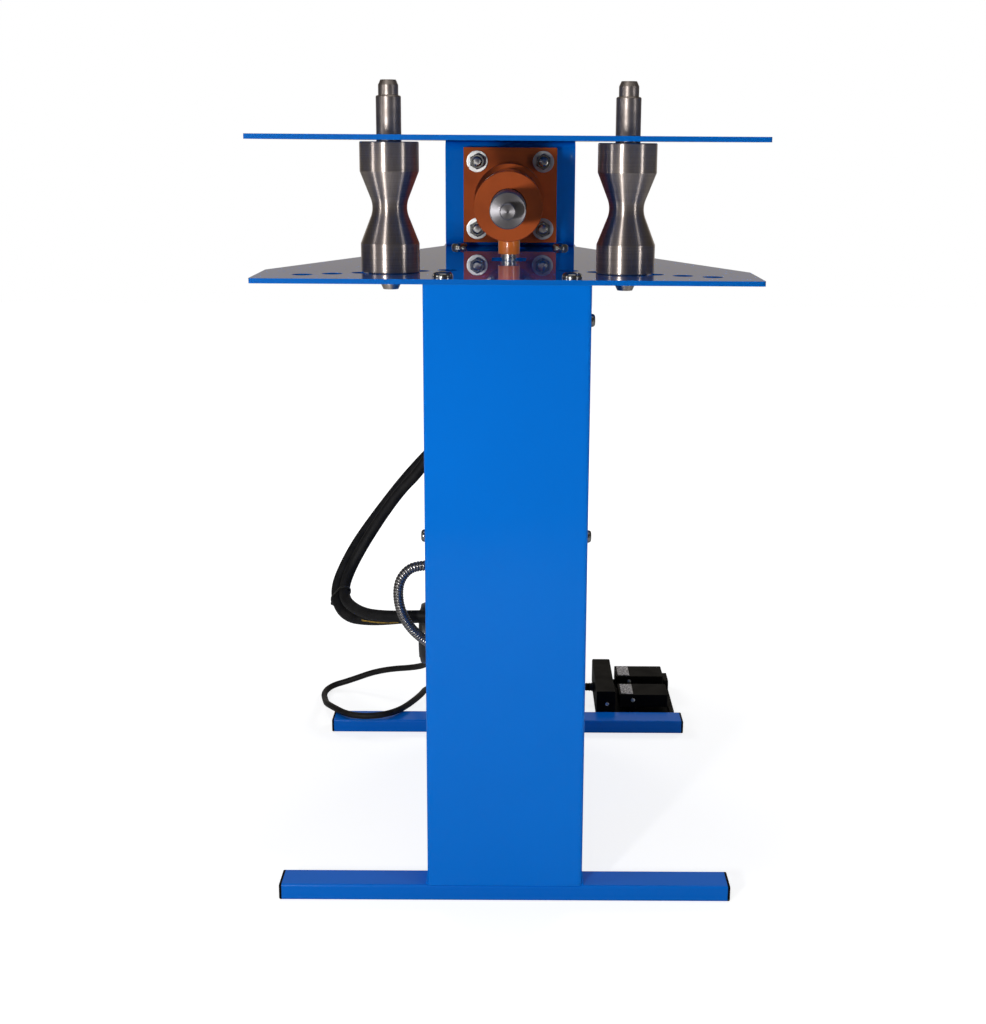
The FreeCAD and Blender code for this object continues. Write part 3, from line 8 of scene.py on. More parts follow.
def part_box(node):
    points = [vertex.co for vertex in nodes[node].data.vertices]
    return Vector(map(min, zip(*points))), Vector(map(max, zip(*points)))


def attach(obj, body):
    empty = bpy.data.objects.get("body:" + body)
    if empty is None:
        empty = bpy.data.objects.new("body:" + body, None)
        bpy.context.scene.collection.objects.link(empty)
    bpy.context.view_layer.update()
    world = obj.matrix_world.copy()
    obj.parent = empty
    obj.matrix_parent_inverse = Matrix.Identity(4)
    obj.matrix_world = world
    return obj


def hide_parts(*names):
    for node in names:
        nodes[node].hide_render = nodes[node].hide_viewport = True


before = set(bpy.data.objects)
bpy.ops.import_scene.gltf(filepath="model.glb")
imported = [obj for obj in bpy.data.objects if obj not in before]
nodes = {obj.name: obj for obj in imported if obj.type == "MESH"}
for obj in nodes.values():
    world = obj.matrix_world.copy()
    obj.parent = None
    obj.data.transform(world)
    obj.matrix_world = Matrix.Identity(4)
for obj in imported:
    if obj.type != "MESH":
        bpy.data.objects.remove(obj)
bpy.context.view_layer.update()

# Camera
# It stands a little above the upper plate and looks down the whole pedestal from the front.
# Its place, turn and lens come from a fit of the plates, the column, the feet and the rollers.

camera_place = Vector((0.0136, -2.5180, 1.1000))
camera_turn = math.radians(-0.251)
camera_dip = math.radians(13.732)
camera_roll = math.radians(0.394)
film_side = 36.0
picture_height = 1024
focal_pixels = 1508.4
centre_offset_pixels = 29.45

camera_data = bpy.data.cameras.new("camera")
camera_data.sensor_width = film_side
camera_data.lens = film_side * focal_pixels / picture_height
camera_data.shift_x = -centre_offset_pixels / picture_height
camera_data.clip_end = 60.0
camera = bpy.data.objects.new("camera", camera_data)
bpy.context.scene.collection.objects.link(camera)
camera_aim = (
    Matrix.Rotation(camera_turn, 4, "Z")
    @ Matrix.Rotation(math.radians(90) - camera_dip, 4, "X")
    @ Matrix.Rotation(camera_roll, 4, "Z")
)
camera.matrix_world = Matrix.Translation(camera_place) @ camera_aim
bpy.context.scene.camera = camera

# Hydraulic hoses
# Two rubber hoses with a cloth-marked cover run from the cylinder's nipples down behind the column,
# out to the left in one bundle and back to the valve block. Each is crimped into steel ends.

hose_width = 0.018
front_hose_route = [
    (0.0, -0.098, 0.849),
    (0.0, -0.098, 0.759),
    (-0.096, -0.087, 0.665),
    (-0.140, -0.070, 0.577),
    (-0.189, -0.057, 0.526),
    (-0.262, -0.043, 0.410),
    (-0.279, -0.097, 0.362),
    (-0.243, -0.162, 0.354),
    (-0.197, -0.199, 0.359),
    (-0.138, -0.231, 0.371),
    (-0.081, -0.231, 0.371),
]
rear_hose_route = [
    (0.0, 0.169, 0.849),
    (0.0, 0.169, 0.759),
    (-0.063, 0.103, 0.643),
    (-0.162, 0.062, 0.554),
    (-0.240, 0.017, 0.458),
    (-0.272, -0.031, 0.413),
    (-0.294, -0.071, 0.362),
    (-0.273, -0.117, 0.332),
    (-0.223, -0.155, 0.337),
    (-0.148, -0.191, 0.356),
    (-0.081, -0.191, 0.356),
]


def new_finish(name, **sockets):
    """A material with plain values on its Principled shader. Underscores stand for spaces."""
    finish = bpy.data.materials.new(name)
    finish.use_nodes = True
    shader = finish.node_tree.nodes["Principled BSDF"]
    for socket, value in sockets.items():
        shader.inputs[socket.replace("_", " ")].default_value = value
    return finish


def add_node(tree, kind, inputs=(), **settings):
    """A node of one kind with its settings. Inputs pairs a number with a value or a socket."""
    node = tree.nodes.new(kind)
    for setting, value in settings.items():
        setattr(node, setting, value)
    for number, value in inputs:
        if isinstance(value, bpy.types.NodeSocket):
            tree.links.new(value, node.inputs[number])
        else:
            node.inputs[number].default_value = value
    return node


def remap(tree, value, *limits):
    """A node that maps a value from two limits to nought and one, or to two more limits."""
    return add_node(tree, "ShaderNodeMapRange", enumerate((value, *limits)))


def combine(tree, operation, *values):
    """A math node on values or sockets."""
    return add_node(tree, "ShaderNodeMath", enumerate(values), operation=operation)


def new_group(name, inputs, outputs):
    """An empty shader node group with named sockets. Returns its tree, input and output nodes."""
    tree = bpy.data.node_groups.new(name, "ShaderNodeTree")
    for socket, kind, value in inputs:
        made = tree.interface.new_socket(socket, in_out="INPUT", socket_type=kind)
        made.default_value = value
    for socket, kind in outputs:
        tree.interface.new_socket(socket, in_out="OUTPUT", socket_type=kind)
    return tree, tree.nodes.new("NodeGroupInput"), tree.nodes.new("NodeGroupOutput")


def use_group(finish, group, **inputs):
    """Places a shared group in a material, with its own values or links."""
    tree = finish.node_tree
    node = tree.nodes.new("ShaderNodeGroup")
    node.node_tree = group
    for socket, value in inputs.items():
        target = node.inputs[socket.replace("_", " ")]
        if isinstance(value, bpy.types.NodeSocket):
            tree.links.new(value, target)
        else:
            target.default_value = value
    return node


def feed(finish, source, socket):
    """Links a socket to the material's Principled shader."""
    shader = finish.node_tree.nodes["Principled BSDF"]
    finish.node_tree.links.new(source, shader.inputs[socket])


FLOAT, COLOUR, VECTOR = "NodeSocketFloat", "NodeSocketColor", "NodeSocketVector"

# Grain: noise in the object's own metres, stretched along chosen directions.
grain, start, end = new_group(
    "grain",
    [("Scale", FLOAT, 100.0), ("Stretch", VECTOR, (1, 1, 1)), ("Detail", FLOAT, 3.0)],
    [("Value", FLOAT)],
)
place = add_node(grain, "ShaderNodeTexCoord")
stretched = add_node(
    grain,
    "ShaderNodeVectorMath",
    [(0, place.outputs["Object"]), (1, start.outputs["Stretch"])],
    operation="MULTIPLY",
)
speckle = add_node(grain, "ShaderNodeTexNoise", [(0, stretched.outputs[0])])
grain.links.new(start.outputs["Scale"], speckle.inputs["Scale"])
grain.links.new(start.outputs["Detail"], speckle.inputs["Detail"])
grain.links.new(speckle.outputs[0], end.inputs["Value"])

# Two tones: a base colour that drifts towards a second one by a mask between two limits.
two_tones, start, end = new_group(
    "two_tones",
    [
        ("Mask", FLOAT, 0.5),
        ("From", FLOAT, 0.4),
        ("To", FLOAT, 0.6),
        ("First", COLOUR, (1, 1, 1, 1)),
        ("Second", COLOUR, (0, 0, 0, 1)),
        ("First Roughness", FLOAT, 0.4),
        ("Second Roughness", FLOAT, 0.5),
    ],
    [("Color", COLOUR), ("Roughness", FLOAT)],
)
share = remap(two_tones, start.outputs["Mask"], start.outputs["From"], start.outputs["To"])
tone = add_node(
    two_tones,
    "ShaderNodeMix",
    [(0, share.outputs[0]), (6, start.outputs["First"]), (7, start.outputs["Second"])],
    data_type="RGBA",
)
rough = add_node(
    two_tones,
    "ShaderNodeMix",
    [
        (0, share.outputs[0]),
        (2, start.outputs["First Roughness"]),
        (3, start.outputs["Second Roughness"]),
    ],
)
two_tones.links.new(tone.outputs[2], end.inputs["Color"])
two_tones.links.new(rough.outputs[0], end.inputs["Roughness"])

# Worn edges: the corners of sheet and castings are rounded off, and lighter where they are rubbed.
edge_from = 0.995
edge_to = 0.85
rub_scale = 90.0
rub_detail = 4.0
worn_edges, start, end = new_group(
    "worn_edges",
    [("Color", COLOUR, (1, 1, 1, 1)), ("Worn", COLOUR, (1, 1, 1, 1)), ("Radius", FLOAT, 0.001)],
    [("Color", COLOUR), ("Normal", VECTOR)],
)
rounded = add_node(worn_edges, "ShaderNodeBevel", [(0, start.outputs["Radius"])], samples=4)
surface = add_node(worn_edges, "ShaderNodeNewGeometry")
likeness = add_node(
    worn_edges,
    "ShaderNodeVectorMath",
    [(0, rounded.outputs[0]), (1, surface.outputs["Normal"])],
    operation="DOT_PRODUCT",
)
on_edge = remap(worn_edges, likeness.outputs["Value"], edge_from, edge_to)
rubbed = add_node(worn_edges, "ShaderNodeTexNoise", [(2, rub_scale), (3, rub_detail)])
rubbed_here = combine(worn_edges, "MULTIPLY", rubbed.outputs[0], on_edge.outputs[0])
worn_tone = add_node(
    worn_edges,
    "ShaderNodeMix",
    [(0, rubbed_here.outputs[0]), (6, start.outputs["Color"]), (7, start.outputs["Worn"])],
    data_type="RGBA",
)
worn_edges.links.new(worn_tone.outputs[2], end.inputs["Color"])
worn_edges.links.new(rounded.outputs[0], end.inputs["Normal"])


def mix_tones(finish, mask, limits, first, second, roughness):
    """Places the two tones in a material and feeds its roughness with them."""
    tones = use_group(
        finish,
        two_tones,
        Mask=mask.outputs[0],
        From=limits[0],
        To=limits[1],
        First=(*first, 1),
        Second=(*second, 1),
        First_Roughness=roughness[0],
        Second_Roughness=roughness[1],
    )
    feed(finish, tones.outputs["Roughness"], "Roughness")
    return tones


def raise_bumps(finish, height, depth, strength):
    """Fine bumps on a material's skin."""
    bump = add_node(finish.node_tree, "ShaderNodeBump", [(0, strength), (1, depth)])
    finish.node_tree.links.new(height.outputs[0], bump.inputs["Height"])
    feed(finish, bump.outputs[0], "Normal")
    return bump


drift_detail = 5.0
bump_detail = 2.0


def toned_finish(
    name,
    first,
    second,
    roughness,
    marks,
    relief,
    limits=(0.4, 0.7),
    worn=None,
    edge=0.001,
    **sockets
):
    """A finish that drifts between two colours and two roughnesses. Marks is the scale of the
    drift, relief the scale, depth and strength of fine bumps, worn the colour of rubbed edges."""
    finish = new_finish(name, **sockets)
    drift = use_group(finish, grain, Scale=marks, Detail=drift_detail)
    tones = mix_tones(finish, drift, limits, first, second, roughness)
    scale, depth, strength = relief
    fine = use_group(finish, grain, Scale=scale, Detail=bump_detail)
    bump = raise_bumps(finish, fine, depth, strength)
    if worn is None:
        feed(finish, tones.outputs["Color"], "Base Color")
        return finish
    edges = use_group(
        finish, worn_edges, Color=tones.outputs["Color"], Worn=(*worn, 1), Radius=edge
    )
    feed(finish, edges.outputs["Color"], "Base Color")
    finish.node_tree.links.new(edges.outputs["Normal"], bump.inputs["Normal"])
    return finish


hose_rubber = toned_finish(
    "hose_rubber",
    first=(0.009, 0.009, 0.010),
    second=(0.020, 0.019, 0.019),
    roughness=(0.5, 0.66),
    marks=45.0,
    relief=(900.0, 0.0006, 0.5),
    Specular_IOR_Level=0.2,
)


def route_curve(name, points, steps):
    """A smooth curve whose control points are the route's points."""
    data = bpy.data.curves.new(name, "CURVE")
    data.dimensions = "3D"
    data.resolution_u = steps
    spline = data.splines.new("NURBS")
    spline.points.add(len(points) - 1)
    for point, place in zip(spline.points, points):
        point.co = (*place, 1.0)
    spline.order_u = 3
    spline.use_endpoint_u = True
    return data


def lay_line(name, points, width, finish):
    """A round line on the stand along a route's curve."""
    data = route_curve(name, points, steps=24)
    data.bevel_depth = width / 2
    data.bevel_resolution = 8
    data.use_fill_caps = True
    line = bpy.data.objects.new(name, data)
    bpy.context.scene.collection.objects.link(line)
    data.materials.append(finish)
    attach(line, "stand")
    return line


front_hose = lay_line("front_hose_line", front_hose_route, hose_width, hose_rubber)
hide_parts("front_port_hose")
rear_hose = lay_line("rear_hose_line", rear_hose_route, hose_width, hose_rubber)
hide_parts("rear_port_hose")

# Pedal cable
# A round rubber-sheathed cable leaves the junction box on the rear post, lies in a loop beside the
# rear foot and goes back behind the column into the pedal.

pedal_cable_width = 0.012
pedal_cable_route = [
    (-0.064, 0.268, 0.190),
    (-0.1205, 0.268, 0.190),
    (-0.154, 0.2645, 0.1225),
    (-0.172, 0.3595, 0.0745),
    (-0.2625, 0.4185, 0.0475),
    (-0.3315, 0.436, 0.016),
    (-0.3655, 0.4275, 0.0085),
    (-0.3775, 0.390, 0.0065),
    (-0.3665, 0.335, 0.010),
    (-0.3535, 0.262, 0.031),
    (-0.295, 0.1885, 0.033),
    (-0.2165, 0.204, 0.0345),
    (-0.175, 0.325, 0.026),
    (-0.169, 0.4265, 0.007),
    (-0.067, 0.4695, 0.007),
    (0.030, 0.424, 0.007),
    (0.0825, 0.3845, 0.0115),
    (0.118, 0.370, 0.030),
    (0.148, 0.370, 0.030),
]

cable_sheath = toned_finish(
    "cable_sheath",
    first=(0.010, 0.009, 0.009),
    second=(0.024, 0.022, 0.020),
    roughness=(0.5, 0.62),
    marks=70.0,
    relief=(1400.0, 0.0003, 0.4),
    Specular_IOR_Level=0.3,
)

cable = lay_line("pedal_cable_line", pedal_cable_route, pedal_cable_width, cable_sheath)
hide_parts("pedal_cable")

# Motor conduit
# A flexible conduit of wound, interlocked steel strip carries the motor's wires from the control
# box to the terminal box. Its turns show as close round ribs.

conduit_width = 0.016
conduit_route = [
    (-0.109, -0.266, 0.464),
    (-0.139, -0.266, 0.464),
    (-0.158, -0.266, 0.453),
    (-0.1695, -0.266, 0.4315),
    (-0.1685, -0.265, 0.3965),
    (-0.154, -0.262, 0.363),
    (-0.127, -0.2435, 0.3305),
    (-0.092, -0.2085, 0.302),
    (-0.072, -0.165, 0.291),
    (-0.072, -0.1335, 0.291),
]
rib_pitch = 0.0046
rib_depth = 0.0020
points_per_rib = 8
points_round_conduit = 40


def points_on_line(points):
    """Points along a route's curve, read from the curve itself."""
    data = route_curve("reading_line", points, steps=40)
    holder = bpy.data.objects.new("reading_line", data)
    read = bpy.data.meshes.new_from_object(holder)
    found = [vertex.co.copy() for vertex in read.vertices]
    bpy.data.meshes.remove(read)
    bpy.data.objects.remove(holder)
    bpy.data.curves.remove(data)
    return found


def even_points(points, step):
    """Points a fixed distance apart on the line through the given points, both ends kept."""
    reach = [0.0]
    for a, b in zip(points, points[1:]):
        reach.append(reach[-1] + (b - a).length)
    count = max(2, round(reach[-1] / step))
    found = []
    place = 0
    for number in range(count + 1):
        target = reach[-1] * number / count
        while place < len(reach) - 2 and reach[place + 1] < target:
            place += 1
        share = (target - reach[place]) / max(reach[place + 1] - reach[place], 1e-9)
        found.append(points[place].lerp(points[place + 1], share))
    return found


def steady_frames(points):
    """At each point the direction of the line and two directions across it that never twist."""
    ways = []
    for number in range(len(points)):
        before = points[max(number - 1, 0)]
        after = points[min(number + 1, len(points) - 1)]
        ways.append((after - before).normalized())
    side = ways[0].orthogonal().normalized()
    frames = []
    for way in ways:
        side = (side - way * side.dot(way)).normalized()
        frames.append((way, side, way.cross(side)))
    return frames


def ring_point(centre, side, across, turn, radius):
    """A point on a circle, at a turn from the first of two directions across its axis."""
    return centre + (side * math.cos(turn) + across * math.sin(turn)) * radius


def new_piece(name, vertices, faces, finish, body="stand", crease=30):
    """A mesh with one material, riding on a body. Edges above the crease angle stay sharp."""
    mesh = bpy.data.meshes.new(name)
    mesh.from_pydata([tuple(vertex) for vertex in vertices], [], faces)
    mesh.validate()
    mesh.polygons.foreach_set("use_smooth", [True] * len(mesh.polygons))
    mesh.set_sharp_from_angle(angle=math.radians(crease))
    mesh.materials.append(finish)
    mesh.update()
    piece = bpy.data.objects.new(name, mesh)
    bpy.context.scene.collection.objects.link(piece)
    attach(piece, body)
    return piece


def skin_rings(rings, closed_ends=True):
    """Faces that join rings of points, each ring with the same number of points."""
    vertices = [point for ring in rings for point in ring]
    around = len(rings[0])
    faces = []
    for row in range(len(rings) - 1):
        for number in range(around):
            beside = (number + 1) % around
            faces.append(
                (
                    row * around + number,
                    row * around + beside,
                    (row + 1) * around + beside,
                    (row + 1) * around + number,
                )
            )
    if closed_ends:
        faces.append(tuple(reversed(range(around))))
        faces.append(tuple(range((len(rings) - 1) * around, len(rings) * around)))
    return vertices, faces


conduit_steel = toned_finish(
    "conduit_steel",
    first=(0.40, 0.39, 0.38),
    second=(0.22, 0.21, 0.21),
    roughness=(0.25, 0.4),
    marks=600.0,
    relief=(600.0, 0.0002, 0.3),
    Metallic=1.0,
)

conduit_line = points_on_line(conduit_route)
conduit_points = even_points(conduit_line, rib_pitch / points_per_rib)
conduit_rings = []
for number, (centre, (way, side, across)) in enumerate(
    zip(conduit_points, steady_frames(conduit_points))
):
    ring = []
    for step in range(points_round_conduit):
        turn = 2 * math.pi * step / points_round_conduit
        wound = (number / points_per_rib + step / points_round_conduit) % 1.0
        groove = rib_depth * (2 * wound - 1) ** 4
        ring.append(ring_point(centre, side, across, turn, conduit_width / 2 - groove))
    conduit_rings.append(ring)
conduit = new_piece("motor_conduit_tube", *skin_rings(conduit_rings), conduit_steel)
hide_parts("motor_conduit")

# Hose tie and lay line
# A nylon cable tie holds the two hoses together at the bottom of their loop. The lower hose has a
# plain yellow line moulded along its cover, which shows the way that it lies.

tie_place = 0.60
tie_width = 0.0048
tie_thickness = 0.0013
tie_gap = 0.0006
points_round_strap = 24
strap_section = ((1, 0), (1, 0.7), (0.8, 1), (-0.8, 1), (-1, 0.7), (-1, 0))
tie_head = (0.0052, 0.0078, 0.0064)
tie_head_edge = 0.0009
tail_length = 0.006
tail_in_head = 0.001
tail_rise = 0.4
tail_edge = 0.0004
mark_from = 0.805
mark_to = 0.905
mark_width = 0.0022
mark_turn_from = math.radians(5)
mark_turn_to = math.radians(48)
mark_section = ((-0.5, -0.0008), (-0.5, 0.0002), (0, 0.00035), (0.5, 0.0002), (0.5, -0.0008))
toward_front = Vector((0, -1, 0.3))
block_crease = 45


def eased_block(low, high, edge, place=(0, 0, 0), axes=((1, 0, 0), (0, 1, 0), (0, 0, 1))):
    """A block with rounded edges between two corners, laid along three directions."""
    form = bmesh.new()
    bmesh.ops.create_cube(form, size=1.0)
    for vertex in form.verts:
        shares = [vertex.co[number] + 0.5 for number in range(3)]
        vertex.co = [a + (b - a) * share for a, b, share in zip(low, high, shares)]
    bmesh.ops.bevel(
        form, geom=form.edges[:], offset=edge, segments=3, profile=0.5, affect="EDGES"
    )
    form.verts.index_update()
    lay = Matrix([tuple(axis) for axis in axes]).transposed()
    vertices = [Vector(place) + lay @ vertex.co for vertex in form.verts]
    faces = [tuple(vertex.index for vertex in face.verts) for face in form.faces]
    form.free()
    return vertices, faces


def gather(shapes):
    """Several shapes, each its vertices and faces, put together as one."""
    vertices, faces = [], []
    for more_vertices, more_faces in shapes:
        first = len(vertices)
        vertices += more_vertices
        faces += [tuple(first + corner for corner in face) for face in more_faces]
    return vertices, faces


front_line = points_on_line(front_hose_route)
rear_line = points_on_line(rear_hose_route)
tie_row = int(tie_place * len(front_line))
tie_front = front_line[tie_row]
along = (front_line[tie_row + 2] - front_line[tie_row - 2]).normalized()
beside = [point for point in rear_line if (point - tie_front).length < 3 * hose_width]
tie_rear = min(beside, key=lambda point: abs((point - tie_front).dot(along)))
across = tie_rear - tie_front
across -= along * across.dot(along)
tie_rear = tie_front + across
across.normalize()
over = along.cross(across)
tie_inside = hose_width / 2 + tie_gap
strap_rings = []
for centre, first_turn in ((tie_rear, -90), (tie_front, 90)):
    for step in range(points_round_strap + 1):
        turn = math.radians(first_turn + 180 * step / points_round_strap)
        ring = []
        for side, height in strap_section:
            reach = tie_inside + height * tie_thickness
            point = ring_point(centre, across, over, turn, reach)
            ring.append(point + along * (side * tie_width / 2))
        strap_rings.append(ring)
strap_rings.append(strap_rings[0])
head_seat = tie_rear + across * tie_inside
head_low = (0, -tie_head[1] / 2, -tie_head[2] / 2)
head_high = (tie_head[0], tie_head[1] / 2, tie_head[2] / 2)
tail_from = tie_head[0] * tail_rise
tail_low = (tail_from, tie_head[1] / 2 - tail_in_head, -tie_width / 2)
tail_high = (tail_from + tie_thickness, tie_head[1] / 2 + tail_length, tie_width / 2)
tie_axes = (across, over, along)
tie_nylon = toned_finish(
    "tie_nylon",
    first=(0.010, 0.010, 0.010),
    second=(0.018, 0.018, 0.018),
    roughness=(0.3, 0.4),
    marks=200.0,
    relief=(1200.0, 0.0001, 0.2),
)
hose_tie = new_piece(
    "hose_tie_strap",
    *gather(
        [
            skin_rings(strap_rings, closed_ends=False),
            eased_block(head_low, head_high, tie_head_edge, head_seat, tie_axes),
            eased_block(tail_low, tail_high, tail_edge, head_seat, tie_axes),
        ]
    ),
    tie_nylon,
    crease=block_crease,
)
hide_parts("hose_tie")

mark_points = rear_line[int(mark_from * len(rear_line)) : int(mark_to * len(rear_line))]
mark_rings = []
for number, point in enumerate(mark_points):
    share = number / (len(mark_points) - 1)
    after = mark_points[min(number + 1, len(mark_points) - 1)]
    before = mark_points[max(number - 1, 0)]
    way = (after - before).normalized()
    face = (toward_front - way * toward_front.dot(way)).normalized()
    down = way.cross(face)
    turn = mark_turn_from + (mark_turn_to - mark_turn_from) * share
    ring = []
    for side, height in mark_section:
        angle = turn + side * mark_width / (hose_width / 2)
        ring.append(ring_point(point, face, down, angle, hose_width / 2 + height))
    mark_rings.append(ring)
mark_yellow = toned_finish(
    "mark_yellow",
    first=(0.42, 0.25, 0.03),
    second=(0.12, 0.075, 0.015),
    roughness=(0.5, 0.6),
    marks=160.0,
    relief=(900.0, 0.0003, 0.4),
    limits=(0.52, 0.66),
)
hose_mark = new_piece("hose_lay_mark", *skin_rings(mark_rings), mark_yellow, crease=60)

# Welded stand
# Square tube and folded sheet, welded and sprayed in gloss blue: the two feet, the rails, the
# column and its cover, the rear post, the two head plates, the bracket and the oil tank.


def dress(finish, *names):
    """Gives CAD nodes a finish."""
    for name in names:
        for slot in nodes[name].material_slots:
            slot.material = finish


def blue_finish(name, first, second, coat_index, coat_roughness, peel):
    """Gloss blue paint. Coat roughness is how blurred its mirror is, peel how wavy its skin."""
    return toned_finish(
        name,
        first=first,
        second=second,
        roughness=(0.42, 0.5),
        marks=3.0,
        relief=(420.0, 0.00012, peel),
        limits=(0.3, 0.7),
        worn=(0.03, 0.30, 0.85),
        edge=0.0012,
        Specular_IOR_Level=0.0,
        Coat_Weight=1.0,
        Coat_IOR=coat_index,
        Coat_Roughness=coat_roughness,
    )


blue_paint = blue_finish("blue_paint", (0.0, 0.198, 0.82), (0.0, 0.212, 0.87), 1.3, 0.02, 0.08)
# The two plates take a darker copy of the stand's gloss blue: painted shade for the dim light
# between the plates.
plate_paint_painted_shade = blue_finish("plate_paint_painted_shade", (0.0, 0.150, 0.62), (0.0, 0.163, 0.67), 1.45, 0.015, 0.05)
tube_paint = blue_finish("tube_paint", (0.0, 0.170, 0.74), (0.0, 0.182, 0.78), 1.3, 0.22, 0.2)
dress(plate_paint_painted_shade, "lower_plate", "upper_plate")
dress(tube_paint, "front_foot", "rear_foot", "base_rails")
dress(
    blue_paint,
    "column",
    "column_back_cover",
    "rear_post",
    "cylinder_bracket",
    "oil_tank",
    "tank_lid",
)

# Weld beads
# The tubes and sheets of the stand are joined by fillet welds laid by hand, painted over with the
# rest: round the feet, at the ends of the rails, under the tank and round the rear post.

bead_radius = 0.0034
ripple_pitch = 0.0026
rings_per_ripple = 5
points_round_bead = 10
run_out_length = 1.2 * bead_radius
thinnest_end = 0.15
shallowest_ripple = 0.8
stitch_length = 0.036
stitch_places = (0.02, 0.13, 0.24)


def bead_shape(start, end):
    """A rippled bead along a straight corner, thin at both ends."""
    start, end = Vector(start), Vector(end)
    points = even_points([start, end], ripple_pitch / rings_per_ripple)
    run_out = run_out_length / (end - start).length
    rings = []
    for number, (centre, (way, side, across)) in enumerate(zip(points, steady_frames(points))):
        share = number / (len(points) - 1)
        near_end = min(1.0, min(share, 1 - share) / run_out)
        wave = abs(math.sin(math.pi * number / rings_per_ripple))
        ripple = shallowest_ripple + (1 - shallowest_ripple) * wave
        size = bead_radius * ripple * max(thinnest_end, math.sqrt(near_end))
        ring = []
        for step in range(points_round_bead):
            turn = 2 * math.pi * step / points_round_bead
            ring.append(ring_point(centre, side, across, turn, size))
        rings.append(ring)
    return skin_rings(rings)


foot_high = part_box("front_foot")[1]
back_foot_low, back_foot_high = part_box("rear_foot")
rails_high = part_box("base_rails")[1]
column_low, column_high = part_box("column")
post_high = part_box("rear_post")[1]
tank_low, tank_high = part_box("oil_tank")
rail_width = 0.040
post_half = 0.050
post_cap = 0.012
margin = 0.003
cap_corner = post_high[2] - post_cap
beads = []
for side in (-1, 1):
    column_side = side * column_high[0]
    beads.append(
        bead_shape(
            (column_side, column_low[1] + margin, foot_high[2]),
            (column_side, foot_high[1] - margin, foot_high[2]),
        )
    )
    for x in (side * rails_high[0], side * (rails_high[0] - rail_width)):
        for y in (foot_high[1], back_foot_low[1]):
            beads.append(bead_shape((x, y, margin), (x, y, foot_high[2] - margin)))
    beads.append(
        bead_shape(
            (side * (rails_high[0] - rail_width + margin), column_high[1], rails_high[2]),
            (side * (rails_high[0] - margin), column_high[1], rails_high[2]),
        )
    )
    for place in stitch_places:
        x, y, z = side * rails_high[0], tank_low[1] + place, tank_low[2]
        beads.append(bead_shape((x, y, z), (x, y + stitch_length, z)))
    for z in (back_foot_high[2], cap_corner):
        beads.append(
            bead_shape(
                (side * post_half, back_foot_low[1] + margin, z),
                (side * post_half, back_foot_high[1] - margin, z),
            )
        )
x = post_half - margin
for y in (back_foot_low[1], back_foot_high[1]):
    beads.append(bead_shape((-x, y, cap_corner), (x, y, cap_corner)))
stand_welds = new_piece("stand_weld_beads", *gather(beads), blue_paint, crease=60)

# Cylinder
# A ready-made double-acting cylinder in orange paint: square flange with its hub, barrel, front
# gland head and two port bosses.

orange_paint = toned_finish(
    "orange_paint",
    first=(0.56, 0.112, 0.027),
    second=(0.46, 0.088, 0.023),
    roughness=(0.4, 0.55),
    marks=22.0,
    relief=(300.0, 0.0003, 0.2),
    limits=(0.45, 0.75),
    worn=(0.55, 0.14, 0.05),
    edge=0.0010,
    Specular_IOR_Level=0.0,
    Coat_Weight=1.0,
    Coat_IOR=1.35,
    Coat_Roughness=0.10,
)
# The port bosses take a brighter, more saturated copy of the cylinder's orange: painted light for
# the strong light and highlight that fall on them.
boss_paint_painted_light = toned_finish(
    "boss_paint_painted_light",
    first=(0.98, 0.245, 0.030),
    second=(0.90, 0.205, 0.025),
    roughness=(0.35, 0.45),
    marks=40.0,
    relief=(300.0, 0.0003, 0.15),
    worn=(0.80, 0.26, 0.08),
    Specular_IOR_Level=0.3,
    Coat_Weight=1.0,
    Coat_Roughness=0.08,
)
dress(orange_paint, "cylinder_flange", "cylinder_barrel", "gland_head")
dress(boss_paint_painted_light, "port_bosses")
guide_bronze = toned_finish(
    "guide_bronze",
    first=(0.58, 0.36, 0.14),
    second=(0.42, 0.25, 0.10),
    roughness=(0.25, 0.38),
    marks=80.0,
    relief=(500.0, 0.00005, 0.3),
    Metallic=1.0,
)
dress(guide_bronze, "guide_bush")

# Rollers
# Two waisted rollers turned from steel bar, which turn freely on their pins. The lathe leaves fine
# rings on the bands and cones.

roller_edge = 0.0012
roller_radius = 0.0415
roller_bore = 0.01758
roller_height = 0.1805
roller_band = 0.0405
roller_ease = 0.0004
cone_tip = 0.02185
waist_length = 0.026
points_round_waist = 14
points_round_bar = 128


def cross_ring(seat, lay, distance, radius, around, sides=0, most=1.0):
    """Points round a bar at one distance along it. With sides, radius is a polygon's inset."""
    ring = []
    for step in range(around):
        turn = 2 * math.pi * step / around
        reach = radius
        if sides:
            half = math.pi / sides
            reach = min(most, radius / math.cos((turn + half) % (2 * half) - half))
        ring.append(seat + lay @ Vector((reach * math.cos(turn), reach * math.sin(turn), distance)))
    return ring


def lay_along(way):
    """The turn that lays a bar's own length along a direction."""
    return Vector(way).to_track_quat("Z", "Y").to_matrix()


def turned_shape(profile, seat, way=(0, 0, 1), around=points_round_bar, hollow=False):
    """A turned shape from (radius, distance) pairs. A hollow one closes on itself."""
    seat = Vector(seat)
    lay = lay_along(way)
    rings = [cross_ring(seat, lay, distance, radius, around) for radius, distance in profile]
    if hollow:
        rings.append(rings[0])
    return skin_rings(rings, closed_ends=not hollow)


def ease_corners(profile, size):
    """Cuts each corner of a profile by three points, so that its edges catch the light, and puts a
    row of points beside them that keeps the long runs true."""
    beside = 2.5 * size
    long_run = 6 * size
    eased = [profile[0]]
    for before, corner, after in zip(profile, profile[1:], profile[2:]):
        here = Vector(corner)
        back, ahead = Vector(before) - here, Vector(after) - here
        if min(back.length, ahead.length) < beside:
            eased.append(corner)
            continue
        first = here + back.normalized() * size
        last = here + ahead.normalized() * size
        if back.length > long_run:
            eased.append(tuple(here + back.normalized() * beside))
        eased += [tuple(first), tuple((first + last) * 0.25 + here * 0.5), tuple(last)]
        if ahead.length > long_run:
            eased.append(tuple(here + ahead.normalized() * beside))
    return eased + [profile[-1]]


